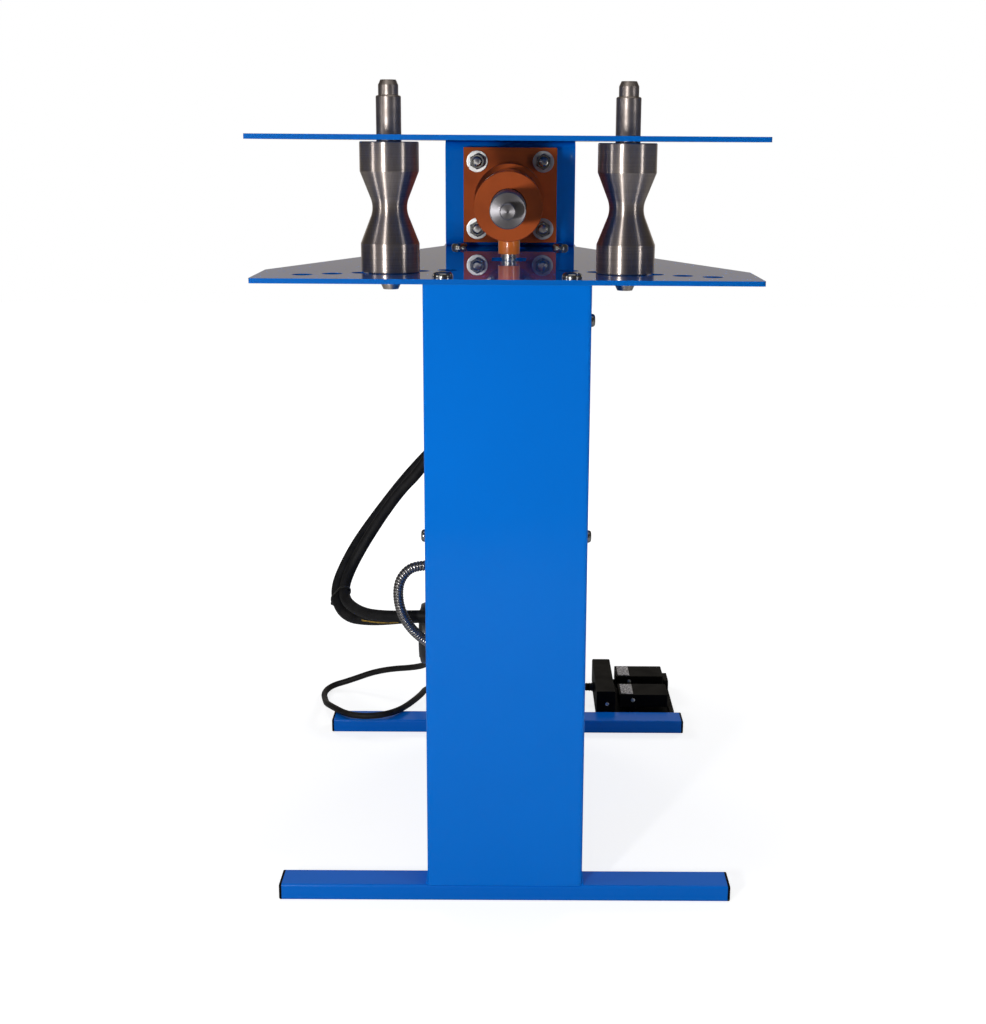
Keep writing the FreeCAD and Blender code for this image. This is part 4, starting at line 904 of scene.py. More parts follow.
def roller_profile():
    """Band, cone, round waist, cone and band, with the bore down the middle."""
    middle = roller_height / 2
    slope = (roller_radius - cone_tip) / (middle - roller_band)
    half = waist_length / 2
    turn_radius = cone_tip + slope * half
    centre = turn_radius + half / slope
    arc = math.hypot(half, half / slope)
    lower = [
        (roller_bore, 0.0),
        (roller_radius - roller_edge, 0.0),
        (roller_radius, roller_edge),
        (roller_radius, roller_band),
    ]
    waist = []
    for step in range(points_round_waist + 1):
        rise = half * (2 * step / points_round_waist - 1)
        waist.append((centre - math.sqrt(arc * arc - rise * rise), middle + rise))
    upper = [(radius, roller_height - height) for radius, height in reversed(lower)]
    return ease_corners(lower + waist + upper, roller_ease)


line_strength = 0.3
line_depth = 0.00003


def lathe_finish(
    name, sheen, lines, limits, first, second, roughness, axis="Z", stains=0, raised=True
):
    """Bare steel off the lathe. Sheen is how far its gloss is drawn out round the axis, lines the
    scale, stretch and detail of the fine rings, and stains, if any, the scale of a drift that mixes
    the two tones in the rings' place."""
    finish = new_finish(name, Metallic=1.0, Anisotropic=sheen, Anisotropic_Rotation=0.25)
    scale, stretch, detail = lines
    rings = use_group(finish, grain, Scale=scale, Stretch=stretch, Detail=detail)
    drift = rings
    if stains:
        drift = use_group(finish, grain, Scale=stains, Detail=drift_detail)
    tones = mix_tones(finish, drift, limits, first, second, roughness)
    feed(finish, tones.outputs["Color"], "Base Color")
    if raised:
        raise_bumps(finish, rings, line_depth, line_strength)
    tangent = add_node(finish.node_tree, "ShaderNodeTangent", direction_type="RADIAL", axis=axis)
    feed(finish, tangent.outputs[0], "Tangent")
    return finish


def middle_of(low, high):
    """The point halfway between two corners."""
    return [(a + b) / 2 for a, b in zip(low, high)]


turned_steel = lathe_finish(
    "turned_steel",
    sheen=0.95,
    lines=(40.0, (0.12, 0.12, 60.0), 3.0),
    limits=(0.3, 0.7),
    first=(0.65, 0.565, 0.505),
    second=(0.46, 0.395, 0.350),
    roughness=(0.30, 0.38),
)

for side in ("left", "right"):
    low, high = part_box(side + "_roller")
    x, y, _ = middle_of(low, high)
    roller = new_piece(
        side + "_waisted_roller",
        *turned_shape(roller_profile(), (x, y, low[2]), hollow=True),
        turned_steel,
        side + "_roller_body",
    )
    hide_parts(side + "_roller")

# Roller pins
# Plain ground steel pins that lift out by hand. Both ends are turned down and tapered so that they
# find their holes.

pin_radius = 0.0175
pin_nose_radius = 0.014
pin_lead = 0.0032
pin_lead_length = 0.007
pin_nose_length = 0.024
pin_top_length = 0.021
pin_shoulder = 0.0015
pin_ease = 0.0005

pin_steel = lathe_finish(
    "pin_steel",
    sheen=0.6,
    lines=(90.0, (1.0, 1.0, 12.0), 4.0),
    limits=(0.35, 0.7),
    first=(0.57, 0.500, 0.455),
    second=(0.43, 0.370, 0.325),
    roughness=(0.42, 0.52),
    stains=70.0,
)

for side in ("left", "right"):
    low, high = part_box(side + "_pin")
    x, y, _ = middle_of(low, high)
    length = high[2] - low[2]
    profile = [
        (pin_nose_radius - pin_lead, 0.0),
        (pin_nose_radius, pin_lead_length),
        (pin_nose_radius, pin_nose_length),
        (pin_radius, pin_nose_length),
        (pin_radius, length - pin_top_length - pin_shoulder),
        (pin_radius - pin_shoulder, length - pin_top_length),
        (pin_nose_radius, length - pin_top_length),
        (pin_nose_radius, length - pin_lead_length),
        (pin_nose_radius - pin_lead, length),
    ]
    pin = new_piece(
        side + "_lift_out_pin",
        *turned_shape(ease_corners(profile, pin_ease), (x, y, low[2])),
        pin_steel,
        side + "_pin_body",
    )
    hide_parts(side + "_pin")

# Ram
# The rod is hard chromed. Its steel face is turned flat, which leaves rings round its middle. The
# nose that holds the pushing tools stands out of it, with a centre drilled in its end.

rod_radius = 0.025
rod_edge = 0.0012
nose_radius = 0.011
nose_length = 0.030
nose_edge = 0.0014
centre_point = 0.0002
centre_hole = 0.0022
centre_depth = 0.0026
face_steps = 10
rod_spigot_radius = 0.018
rod_spigot_length = 0.060
frontward, rearward = (0, -1, 0), (0, 1, 0)

rod_steel = lathe_finish(
    "rod_steel",
    sheen=0.7,
    lines=(30.0, (1.0, 60.0, 1.0), 3.0),
    limits=(0.3, 0.7),
    first=(0.34, 0.33, 0.35),
    second=(0.20, 0.19, 0.20),
    roughness=(0.34, 0.42),
    axis="Y",
    raised=False,
)

low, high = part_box("ram_rod")
rod_length = high[1] - low[1]
rod_profile = [
    (centre_point, centre_depth),
    (centre_hole, 0.0),
    (nose_radius - nose_edge, 0.0),
    (nose_radius, nose_edge),
    (nose_radius, nose_length),
]
for step in range(1, face_steps):
    reach = (rod_radius - rod_edge - nose_radius) * step / face_steps
    rod_profile.append((nose_radius + reach, nose_length))
rod_profile += [
    (rod_radius - rod_edge, nose_length),
    (rod_radius, nose_length + rod_edge),
    (rod_radius, rod_length - rod_spigot_length),
    (rod_spigot_radius, rod_length - rod_spigot_length),
    (rod_spigot_radius, rod_length),
]
x, _, z = middle_of(low, high)
rod_shape = turned_shape(rod_profile, (x, low[1], z), rearward)
ram_rod = new_piece("ram_rod_with_nose", *rod_shape, rod_steel, "ram")
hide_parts("ram_rod")
dress(turned_steel, "piston", "motor_shaft")

# Flange studs, nuts and washers
# Four threaded studs hold the flange to the bracket. Each has a plain washer and a zinc-plated
# hexagon nut in front, and a nut behind.

washer_radius = 0.01875
washer_hole = 0.0085
washer_thickness = 0.003
washer_ease = 0.0005
nut_across = 0.024
nut_height = 0.013
nut_rim = 0.97
nut_first_cut = 0.35
nut_hole_edge = 0.0008
hexagon = 6
points_round_nut = 72
points_round_washer = 64
stud_radius = 0.008
thread_pitch = 0.002
thread_depth = 0.0011
rows_per_turn = 10
thread_end = 0.75
points_round_thread = 48
stud_offset = 0.058
points_round_head = 24
screw_crease = 40
socket_floor = 0.35
head_dome = ((1.0, 0.0), (1.0, 0.45), (0.93, 0.72), (0.76, 0.92), (0.6, 1.0))


def plated_finish(name, first, second, roughness):
    """Zinc-plated steel with a faint cloudy bloom."""
    return toned_finish(
        name,
        first=first,
        second=second,
        roughness=roughness,
        marks=60.0,
        relief=(700.0, 0.00003, 0.2),
        Metallic=1.0,
    )


zinc_steel = plated_finish("zinc_steel", (0.66, 0.65, 0.62), (0.54, 0.53, 0.51), (0.24, 0.34))
washer_steel = plated_finish("washer_steel", (0.72, 0.72, 0.70), (0.56, 0.56, 0.54), (0.36, 0.48))
screw_steel = plated_finish("screw_steel", (0.42, 0.42, 0.41), (0.28, 0.28, 0.27), (0.15, 0.24))
nut_steel = plated_finish("nut_steel", (0.26, 0.26, 0.25), (0.17, 0.17, 0.16), (0.2, 0.3))


def nut_shape(seat, way, across, height, hole, corner_cut=0.0016):
    """A hexagon nut with turned corners and a hole through it."""
    seat = Vector(seat)
    lay = lay_along(way)
    cuts = (0.0, corner_cut * nut_first_cut, corner_cut)
    rings = []
    for distance in (*cuts, *(height - depth for depth in reversed(cuts))):
        from_face = min(distance, height - distance)
        cone = across / 2 * nut_rim + from_face * math.sqrt(3)
        rings.append(cross_ring(seat, lay, distance, across / 2, points_round_nut, hexagon, cone))
    for distance, radius in (
        (height, hole + nut_hole_edge),
        (height - nut_hole_edge, hole),
        (nut_hole_edge, hole),
        (0.0, hole + nut_hole_edge),
    ):
        rings.append(cross_ring(seat, lay, distance, radius, points_round_nut))
    rings.append(rings[0])
    return skin_rings(rings, closed_ends=False)


def screw_head(seat, way, radius, height, socket):
    """A domed screw head, with a hexagon socket of this inset sunk in it."""
    seat = Vector(seat)
    lay = lay_along(way)
    rings = []
    for wide, high in head_dome:
        rings.append(cross_ring(seat, lay, height * high, radius * wide, points_round_head))
    for high in (1.0, socket_floor):
        rings.append(cross_ring(seat, lay, height * high, socket, points_round_head, hexagon))
    return skin_rings(rings)


def thread_shape(seat, way, radius, length):
    """A threaded bar: its rings rise and fall along one helix, and run out at both ends."""
    seat = Vector(seat)
    lay = lay_along(way)
    count = round(length / thread_pitch * rows_per_turn)
    rings = []
    for row in range(count + 1):
        distance = length * row / count
        to_end = min(distance, length - distance)
        lead = min(1.0, thread_end + (1 - thread_end) * to_end / thread_pitch)
        ring = []
        for step in range(points_round_thread):
            wound = (distance / thread_pitch + step / points_round_thread) % 1.0
            depth = thread_depth * abs(2 * wound - 1)
            turn = 2 * math.pi * step / points_round_thread
            size = (radius - depth) * lead
            point = Vector((size * math.cos(turn), size * math.sin(turn), distance))
            ring.append(seat + lay @ point)
        rings.append(ring)
    return skin_rings(rings)


stud_low, stud_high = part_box("flange_studs")
washer_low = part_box("flange_washers")[0]
nuts_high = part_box("flange_nuts")[1]
axis_height = (stud_low[2] + stud_high[2]) / 2
stud_run = stud_high[1] - stud_low[1]
offsets = (-stud_offset, stud_offset)
corners = [(x, axis_height + z) for x in offsets for z in offsets]
washer_profile = ease_corners(
    [
        (washer_hole, 0.0),
        (washer_radius, 0.0),
        (washer_radius, washer_thickness),
        (washer_hole, washer_thickness),
        (washer_hole, 0.0),
    ],
    washer_ease,
)
washers, nuts, studs = [], [], []
for x, z in corners:
    front = (x, washer_low[1], z)
    back = (x, nuts_high[1] - nut_height, z)
    washers.append(
        turned_shape(washer_profile[:-1], front, rearward, points_round_washer, hollow=True)
    )
    nuts.append(nut_shape(front, frontward, nut_across, nut_height, stud_radius))
    nuts.append(nut_shape(back, rearward, nut_across, nut_height, stud_radius))
    studs.append(thread_shape((x, stud_low[1], z), rearward, stud_radius, stud_run))
for name, shapes, finish, node in (
    ("flange_washer_set", washers, washer_steel, "flange_washers"),
    ("flange_nut_set", nuts, nut_steel, "flange_nuts"),
    ("flange_stud_set", studs, zinc_steel, "flange_studs"),
):
    piece = new_piece(name, *gather(shapes), finish)
    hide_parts(node)

dress(screw_steel, "lower_plate_screws", "cover_screws")
dress(
    zinc_steel,
    "bracket_bolts",
    "port_nipples",
    "valve_block",
    "hydraulic_pipes",
    "hose_fittings",
    "conduit_fittings",
    "pedal_hinge_pins",
)

# Plastics
# The end caps, glands, boxes and the whole foot pedal are moulded in black, with a fine
# spark-eroded grain that takes dust.

black_plastic = toned_finish(
    "black_plastic",
    first=(0.0032, 0.0026, 0.0023),
    second=(0.0065, 0.0055, 0.0050),
    roughness=(0.45, 0.6),
    marks=25.0,
    relief=(1500.0, 0.0002, 0.3),
    limits=(0.45, 0.75),
    worn=(0.02, 0.019, 0.018),
    edge=0.0008,
    Specular_IOR_Level=0.06,
)
dress(
    black_plastic,
    "foot_end_caps",
    "level_gauge",
    "filler_cap",
    "cable_glands",
    "main_switch_knob",
    "junction_box",
    "pedal_base",
    "pedal_housing",
    "front_treadle",
    "rear_treadle",
    "wiper_seal",
)

# Hose ends
# A plated steel sleeve on each end of the two hoses. It is crimped on in a press, which leaves
# eight flats and a rounded rim.

upward, rightward = (0, 0, 1), (1, 0, 0)
sleeve_inset = 0.0121
sleeve_corner = 0.0129
sleeve_rows = (
    (0.0, 0.92),
    (0.0012, 1.0),
    (0.010, 1.0),
    (0.0112, 0.975),
    (0.0128, 0.975),
    (0.014, 1.0),
    (0.023, 1.0),
    (0.0242, 0.975),
    (0.0258, 0.975),
    (0.027, 1.0),
    (0.034, 1.0),
    (0.0355, 0.92),
)
sleeve_sides = 8
points_round_sleeve = 64
sleeves = []
for place, way in (
    (front_hose_route[0], upward),
    (rear_hose_route[0], upward),
    (front_hose_route[-1], rightward),
    (rear_hose_route[-1], rightward),
):
    rings = []
    seat = Vector(place)
    lay = lay_along(way)
    for distance, share in sleeve_rows:
        inset, corner = sleeve_inset * share, sleeve_corner * share
        rings.append(
            cross_ring(seat, lay, distance, inset, points_round_sleeve, sleeve_sides, corner)
        )
    sleeves.append(skin_rings(rings))
hose_sleeves = new_piece("crimped_hose_sleeves", *gather(sleeves), zinc_steel)

# Pipe nuts
# The two steel pipes are held by hexagon cutting-ring nuts at the valve block, pump and tank. The
# nuts are plated steel and are screwed on.

pipe_radius = 0.006
pipe_nut_across = 0.022
pipe_nut_height = 0.013
block_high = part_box("valve_block")[1]
lid_low, lid_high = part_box("tank_lid")
pump_low, pump_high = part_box("gear_pump")
pipe_ends = (
    ((0.030, block_high[1], 0.366), rearward),
    ((-0.010, block_high[1], 0.352), rearward),
    ((-0.010, -0.142, lid_high[2]), upward),
    ((0.100, -0.016, pump_high[2]), upward),
)
pipe_nuts = gather(
    nut_shape(place, way, pipe_nut_across, pipe_nut_height, pipe_radius) for place, way in pipe_ends
)
pipe_nut_set = new_piece("pipe_nut_set", *pipe_nuts, zinc_steel)

# Tank fittings
# The lid is screwed down all round. The level gauge is a sight glass with the oil behind it, held
# by two hollow bolts, and a hexagon plug drains the tank.

lid_inset = 0.011
lid_screw = (0.0052, 0.0034, 0.0024)
gauge_bolt = (0.0075, 0.005, 0.004)
drain_screw = (0.0098, 0.011, 0.004)
drain_collar = (0.024, 0.003, 0.0085, 0.0008)
gauge_low, gauge_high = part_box("level_gauge")
gauge_middle = (gauge_low[0] + gauge_high[0]) / 2
glass_half = 0.0042
glass_depth = 0.0025
glass_inset = 0.018
glass_sunk = 0.004
glass_edge = 0.0008
bolt_inset = 0.009
drain_x = -0.080
drain_height = 0.024
drain_place = (drain_x, tank_high[1], tank_low[2] + drain_height)
lid_middle = (lid_low[1] + lid_high[1]) / 2
lid_screws = []
for x in (lid_low[0] + lid_inset, 0.0, lid_high[0] - lid_inset):
    for y in (lid_low[1] + lid_inset, lid_middle, lid_high[1] - lid_inset):
        if x or y != lid_middle:
            lid_screws.append(screw_head((x, y, lid_high[2]), upward, *lid_screw))
for z in (gauge_low[2] + bolt_inset, gauge_high[2] - bolt_inset):
    lid_screws.append(screw_head((gauge_middle, gauge_high[1], z), rearward, *gauge_bolt))
lid_screws.append(nut_shape(drain_place, rearward, *drain_collar))
lid_screws.append(screw_head(drain_place, rearward, *drain_screw))
tank_screws = new_piece(
    "tank_screws_and_plug", *gather(lid_screws), zinc_steel, crease=screw_crease
)
oil_glass = toned_finish(
    "oil_glass",
    first=(0.42, 0.20, 0.03),
    second=(0.30, 0.13, 0.02),
    roughness=(0.06, 0.12),
    marks=60.0,
    relief=(80.0, 0.0001, 0.1),
    Coat_Weight=1.0,
)
glass_front = gauge_high[1] - glass_sunk
glass_low = (gauge_middle - glass_half, glass_front, gauge_low[2] + glass_inset)
glass_high = (gauge_middle + glass_half, glass_front + glass_depth, gauge_high[2] - glass_inset)
glass_block = eased_block(glass_low, glass_high, glass_edge)
gauge_glass = new_piece("level_gauge_glass", *glass_block, oil_glass, crease=block_crease)

# Motor and pump
# A foot-mounted electric motor with cast fins drives a gear pump through a bellhousing. Its fan
# runs in a pressed cover with a grille, and its terminal box has a screwed lid.

grey_casting = toned_finish(
    "grey_casting",
    first=(0.21, 0.22, 0.23),
    second=(0.15, 0.155, 0.165),
    roughness=(0.42, 0.58),
    marks=40.0,
    relief=(420.0, 0.0006, 0.5),
    worn=(0.42, 0.43, 0.44),
    edge=0.0012,
    Metallic=0.3,
)
dress(grey_casting, "motor_housing", "motor_terminal_box", "pump_bellhousing", "gear_pump")
dark_sheet = toned_finish(
    "dark_sheet",
    first=(0.030, 0.031, 0.034),
    second=(0.045, 0.046, 0.050),
    roughness=(0.35, 0.5),
    marks=30.0,
    relief=(700.0, 0.0002, 0.3),
    Coat_Weight=0.3,
)
cover_low, cover_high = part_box("motor_fan_cover")
cover_radius = (cover_high[2] - cover_low[2]) / 2
cover_edge = 0.007
edge_middle = 0.29
cover_wall = 0.0013
cover_centre = 0.0008
grille_centre = 0.009
grille_first = 0.012
grille_pitch = 0.006
grille_count = 6
spokes = 8
spoke_faces = 2
points_round_cover = 96
cover_rings = [(cover_centre, 0.0), (grille_centre, 0.0)]
for number in range(grille_count):
    inner = grille_first + number * grille_pitch
    cover_rings += [(inner, 0.0), (inner + grille_pitch / 2, 0.0)]
cover_rings += [
    (cover_radius - cover_edge, 0.0),
    (cover_radius - cover_edge * edge_middle, cover_edge * edge_middle),
    (cover_radius, cover_edge),
    (cover_radius, cover_high[0] - cover_low[0]),
]
motor_axis = (cover_low[0], *middle_of(cover_low, cover_high)[1:])
cover_vertices, cover_faces = turned_shape(cover_rings, motor_axis, rightward, points_round_cover)
open_rows = range(2, 2 + 2 * grille_count, 2)
kept_faces = []
for number, corners_of_face in enumerate(cover_faces):
    row, sector = divmod(number, points_round_cover)
    if row not in open_rows or sector % (points_round_cover // spokes) < spoke_faces:
        kept_faces.append(corners_of_face)
fan_grille = new_piece("motor_fan_grille", cover_vertices, kept_faces[:-1], dark_sheet, crease=50)
thicken = fan_grille.modifiers.new("sheet", "SOLIDIFY")
thicken.thickness = cover_wall
thicken.offset = 1.0
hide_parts("motor_fan_cover")


def four_screws(first, second, axis, level, size):
    """Screw heads at the four meetings of two pairs of places, on a face at a level of an axis."""
    way = [0, 0, 0]
    way[axis] = 1
    heads = []
    for a in first:
        for b in second:
            place = [a, b]
            place.insert(axis, level)
            heads.append(screw_head(place, way, *size))
    return heads


lid_overhang = 0.001
terminal_lid_thickness = 0.004
terminal_lid_edge = 0.0014
terminal_inset = 0.007
terminal_screw = (0.0042, 0.003, 0.002)
pump_screw = (0.0065, 0.008, 0.0032)
pump_screw_side = 0.032
pump_screw_drop = 0.032
pump_screw_rise = 0.026
motor_screw = (0.0065, 0.006, 0.0032)
motor_screw_inset = 0.036
motor_screw_side = 0.035
motor_foot_thickness = 0.010
terminal_low, terminal_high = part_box("motor_terminal_box")
motor_low, motor_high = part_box("motor_housing")
lid_from = (terminal_low[0] - lid_overhang, terminal_low[1] - lid_overhang, terminal_high[2])
lid_to = (
    terminal_high[0] + lid_overhang,
    terminal_high[1] + lid_overhang,
    terminal_high[2] + terminal_lid_thickness,
)
lid_block = eased_block(lid_from, lid_to, terminal_lid_edge)
terminal_lid = new_piece("terminal_box_lid", *lid_block, grey_casting, crease=block_crease)
power_screws = four_screws(
    (lid_from[0] + terminal_inset, lid_to[0] - terminal_inset),
    (lid_from[1] + terminal_inset, lid_to[1] - terminal_inset),
    2,
    lid_to[2],
    terminal_screw,
)
pump_middle = (pump_low[1] + pump_high[1]) / 2
power_screws += four_screws(
    (pump_middle - pump_screw_side, pump_middle + pump_screw_side),
    (motor_axis[2] - pump_screw_drop, motor_axis[2] + pump_screw_rise),
    0,
    pump_high[0],
    pump_screw,
)
power_screws += four_screws(
    (motor_low[0] + motor_screw_inset, motor_high[0] - motor_screw_inset),
    (motor_axis[1] - motor_screw_side, motor_axis[1] + motor_screw_side),
    2,
    lid_high[2] + motor_foot_thickness,
    motor_screw,
)
power_screw_set = new_piece(
    "motor_and_pump_screws", *gather(power_screws), zinc_steel, crease=screw_crease
)

# Solenoid valve
# The valve's body carries a black moulded coil at each end, held by a knurled nut, and each coil
# has a square plug with one screw.

dark_casting = toned_finish(
    "dark_casting",
    first=(0.020, 0.020, 0.022),
    second=(0.032, 0.032, 0.034),
    roughness=(0.38, 0.5),
    marks=50.0,
    relief=(600.0, 0.0003, 0.4),
    worn=(0.10, 0.10, 0.10),
)
dress(dark_casting, "solenoid_valve")
valve_low, valve_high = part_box("solenoid_valve")
coil_inset = 0.023
coil_x = valve_low[0] + coil_inset
coil_y = (valve_low[1] + valve_high[1]) / 2
plug_screw = (0.0036, 0.0024, 0.0016)
points_round_coil_nut = 48
coil_nut = [
    (0.0115, 0.0),
    (0.0125, 0.001),
    (0.0125, 0.0065),
    (0.0110, 0.008),
    (0.005, 0.008),
]
coil_nut_seat = (coil_x, coil_y, valve_low[2])
valve_details = [turned_shape(coil_nut, coil_nut_seat, (0, 0, -1), points_round_coil_nut)]
for z in (valve_low[2] + coil_inset, valve_high[2] - coil_inset):
    valve_details.append(screw_head((valve_high[0], coil_y, z), rightward, *plug_screw))
valve_fittings = new_piece(
    "valve_nut_and_screws", *gather(valve_details), zinc_steel, crease=screw_crease
)

# Control box
# A powder-coated box of sheet steel, bolted to the back of the column, with a lid on a gasket. Its
# right side has the main switch on a plate with ticks and the stop button on a yellow disc.

grey_sheet = toned_finish(
    "grey_sheet",
    first=(0.50, 0.52, 0.51),
    second=(0.45, 0.47, 0.46),
    roughness=(0.42, 0.52),
    marks=6.0,
    relief=(900.0, 0.0003, 0.35),
    worn=(0.62, 0.63, 0.62),
)
dress(grey_sheet, "control_box", "control_box_lid")
red_plastic = toned_finish(
    "red_plastic",
    first=(0.55, 0.012, 0.008),
    second=(0.46, 0.010, 0.008),
    roughness=(0.25, 0.35),
    marks=30.0,
    relief=(1000.0, 0.0001, 0.2),
    Coat_Weight=0.4,
)
dress(red_plastic, "stop_button")
stop_yellow = toned_finish(
    "stop_yellow",
    first=(0.80, 0.50, 0.02),
    second=(0.72, 0.44, 0.02),
    roughness=(0.35, 0.45),
    marks=40.0,
    relief=(900.0, 0.0001, 0.2),
)
tick_white = toned_finish(
    "tick_white",
    first=(0.72, 0.72, 0.70),
    second=(0.60, 0.60, 0.58),
    roughness=(0.4, 0.5),
    marks=90.0,
    relief=(900.0, 0.0001, 0.2),
)
box_low, box_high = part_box("control_box")
box_lid_low, box_lid_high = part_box("control_box_lid")
box_side = box_lid_high[0]
knob_low, knob_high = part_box("main_switch_knob")
stop_low, stop_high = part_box("stop_button")
knob_seat = middle_of(knob_low, knob_high)[1:]
stop_seat = middle_of(stop_low, stop_high)[1:]
gasket_margin = 0.0006
gasket_depth = 0.0014
gasket_gap = 0.0001
gasket_edge = 0.0005
box_screw_inset = 0.009
lid_gasket = new_piece(
    "control_box_gasket",
    *eased_block(
        (box_low[0] - gasket_margin, box_lid_low[1] - gasket_depth, box_low[2] - gasket_margin),
        (box_side + gasket_margin, box_lid_low[1] - gasket_gap, box_high[2] + gasket_margin),
        gasket_edge,
    ),
    black_plastic,
    crease=block_crease,
)
box_screws = four_screws(
    (box_low[0] + box_screw_inset, box_side - box_screw_inset),
    (box_low[2] + box_screw_inset, box_high[2] - box_screw_inset),
    1,
    box_lid_high[1],
    lid_screw,
)
box_screw_set = new_piece(
    "control_box_screws", *gather(box_screws), zinc_steel, crease=screw_crease
)
tick_plate_profile = [
    (0.0192, 0.0),
    (0.0262, 0.0),
    (0.0262, 0.0007),
    (0.0257, 0.0011),
    (0.0192, 0.0011),
]
tick_plate_seat = (knob_low[0], *knob_seat)
points_round_disc = 96
tick_plate = new_piece(
    "main_switch_tick_plate",
    *turned_shape(tick_plate_profile, tick_plate_seat, rightward, points_round_disc, hollow=True),
    black_plastic,
)
tick_count = 8
tick_sunk = 0.0001
tick_low = (0, 0.0208, -0.0006)
tick_high = (0.0004, 0.0250, 0.0006)
tick_edge = 0.0001
tick_seat = Vector((knob_low[0] + tick_plate_profile[-1][1] - tick_sunk, *knob_seat))
ticks = []
for number in range(tick_count):
    turn = 2 * math.pi * number / tick_count
    out = Vector((0, math.sin(turn), math.cos(turn)))
    sideways = Vector((0, math.cos(turn), -math.sin(turn)))
    tick_axes = (rightward, out, sideways)
    ticks.append(eased_block(tick_low, tick_high, tick_edge, tick_seat, tick_axes))
tick_set = new_piece("main_switch_ticks", *gather(ticks), tick_white, crease=block_crease)
pointer_half = 0.0008
pointer_from = 0.004
pointer_to = 0.016
pointer_sunk = 0.0002
pointer_height = 0.0003
pointer_edge = 0.0002
knob_pointer = new_piece(
    "main_switch_pointer",
    *eased_block(
        (knob_high[0] - pointer_sunk, knob_seat[0] - pointer_half, knob_seat[1] + pointer_from),
        (knob_high[0] + pointer_height, knob_seat[0] + pointer_half, knob_seat[1] + pointer_to),
        pointer_edge,
    ),
    tick_white,
    "switch_body",
    crease=block_crease,
)
stop_disc_profile = [
    (0.0202, 0.0),
    (0.030, 0.0),
    (0.030, 0.0008),
    (0.0294, 0.0014),
    (0.0202, 0.0014),
]
stop_disc_seat = (box_side, *stop_seat)
stop_disc = new_piece(
    "stop_button_disc",
    *turned_shape(stop_disc_profile, stop_disc_seat, rightward, points_round_disc, hollow=True),
    stop_yellow,
)

# Junction box
# A moulded box on the back of the rear post joins the pedal's cable to the machine. Its lid has a
# screw in each corner.

junction_low, junction_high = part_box("junction_box")
junction_lid_thickness = 0.005
junction_lid_edge = 0.0018
junction_inset = 0.008
junction_screw = (0.0042, 0.002, 0.002)
lid_face = junction_high[1] + junction_lid_thickness
junction_lid = new_piece(
    "junction_box_lid",
    *eased_block(
        (junction_low[0] - lid_overhang, junction_high[1], junction_low[2] - lid_overhang),
        (junction_high[0] + lid_overhang, lid_face, junction_high[2] + lid_overhang),
        junction_lid_edge,
    ),
    black_plastic,
    crease=block_crease,
)
junction_screws = four_screws(
    (junction_low[0] + junction_inset, junction_high[0] - junction_inset),
    (junction_low[2] + junction_inset, junction_high[2] - junction_inset),
    1,
    lid_face,
    junction_screw,
)
junction_screw_set = new_piece(
    "junction_box_screws", *gather(junction_screws), zinc_steel, crease=screw_crease
)

# Foot pedal
# A moulded pedal with two treadles. Each treadle has a rough grip pad at its left end, the housing
# beside them has a bright screw in front, and the cable goes in through a ribbed tapered boot.

pad_from = 0.0040
pad_length = 0.0235
pad_inset = 0.0045
pad_height = 0.0012
pad_sunk = 0.0002
pad_edge = 0.0005
housing_screw_size = (0.0038, 0.002, 0.0016)
housing_screw_x = 0.195
housing_screw_z = 0.030
grip_pad = toned_finish(
    "grip_pad",
    first=(0.72, 0.68, 0.65),
    second=(0.21, 0.19, 0.18),
    roughness=(0.7, 0.85),
    marks=260.0,
    relief=(900.0, 0.0006, 0.5),
    limits=(0.42, 0.6),
    Specular_IOR_Level=0.2,
)
for side in ("front", "rear"):
    low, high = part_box(side + "_treadle")
    pad = new_piece(
        side + "_treadle_grip_pad",
        *eased_block(
            (low[0] + pad_from, low[1] + pad_inset, high[2] - pad_sunk),
            (low[0] + pad_from + pad_length, high[1] - pad_inset, high[2] + pad_height),
            pad_edge,
        ),
        grip_pad,
        side + "_treadle_body",
        crease=block_crease,
    )
housing_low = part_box("pedal_housing")[0]
housing_screw_place = (housing_screw_x, housing_low[1], housing_screw_z)
bright_steel = plated_finish("bright_steel", (0.85, 0.85, 0.85), (0.75, 0.75, 0.75), (0.3, 0.4))
housing_screw = new_piece(
    "pedal_housing_screw",
    *screw_head(housing_screw_place, frontward, *housing_screw_size),
    bright_steel,
    crease=screw_crease,
)
boot_reach = 0.026
boot_foot = Vector(pedal_cable_route[-1]) + Vector((boot_reach, 0, 0))
boot_length = 0.034
boot_base = 0.0086
boot_tip = 0.0068
boot_collar = 0.0015
boot_collar_length = 0.003
boot_ribs = 6
points_round_boot = 48
boot_groove = 0.0009
rib_places = ((0.1, 0.0), (0.5, 0.0), (0.6, boot_groove), (1.0, boot_groove))
boot_profile = [(boot_base + boot_collar, 0.0), (boot_base + boot_collar, boot_collar_length)]
for number in range(boot_ribs):
    for share, groove in rib_places:
        reach = (number + share) / boot_ribs
        radius = boot_base + (boot_tip - boot_base) * reach - groove
        place = boot_collar_length + reach * (boot_length - boot_collar_length)
        boot_profile.append((radius, place))
cable_boot = new_piece(
    "pedal_cable_boot",
    *turned_shape(boot_profile, boot_foot, (-1, 0, 0), points_round_boot),
    cable_sheath,
)

# Floor, backdrop and light
# A plain pale floor and a white surround, both dim in mirror images. The main lamp stands left of
# the camera at the height of the ram, with a strip lamp on each side and a soft lamp above.

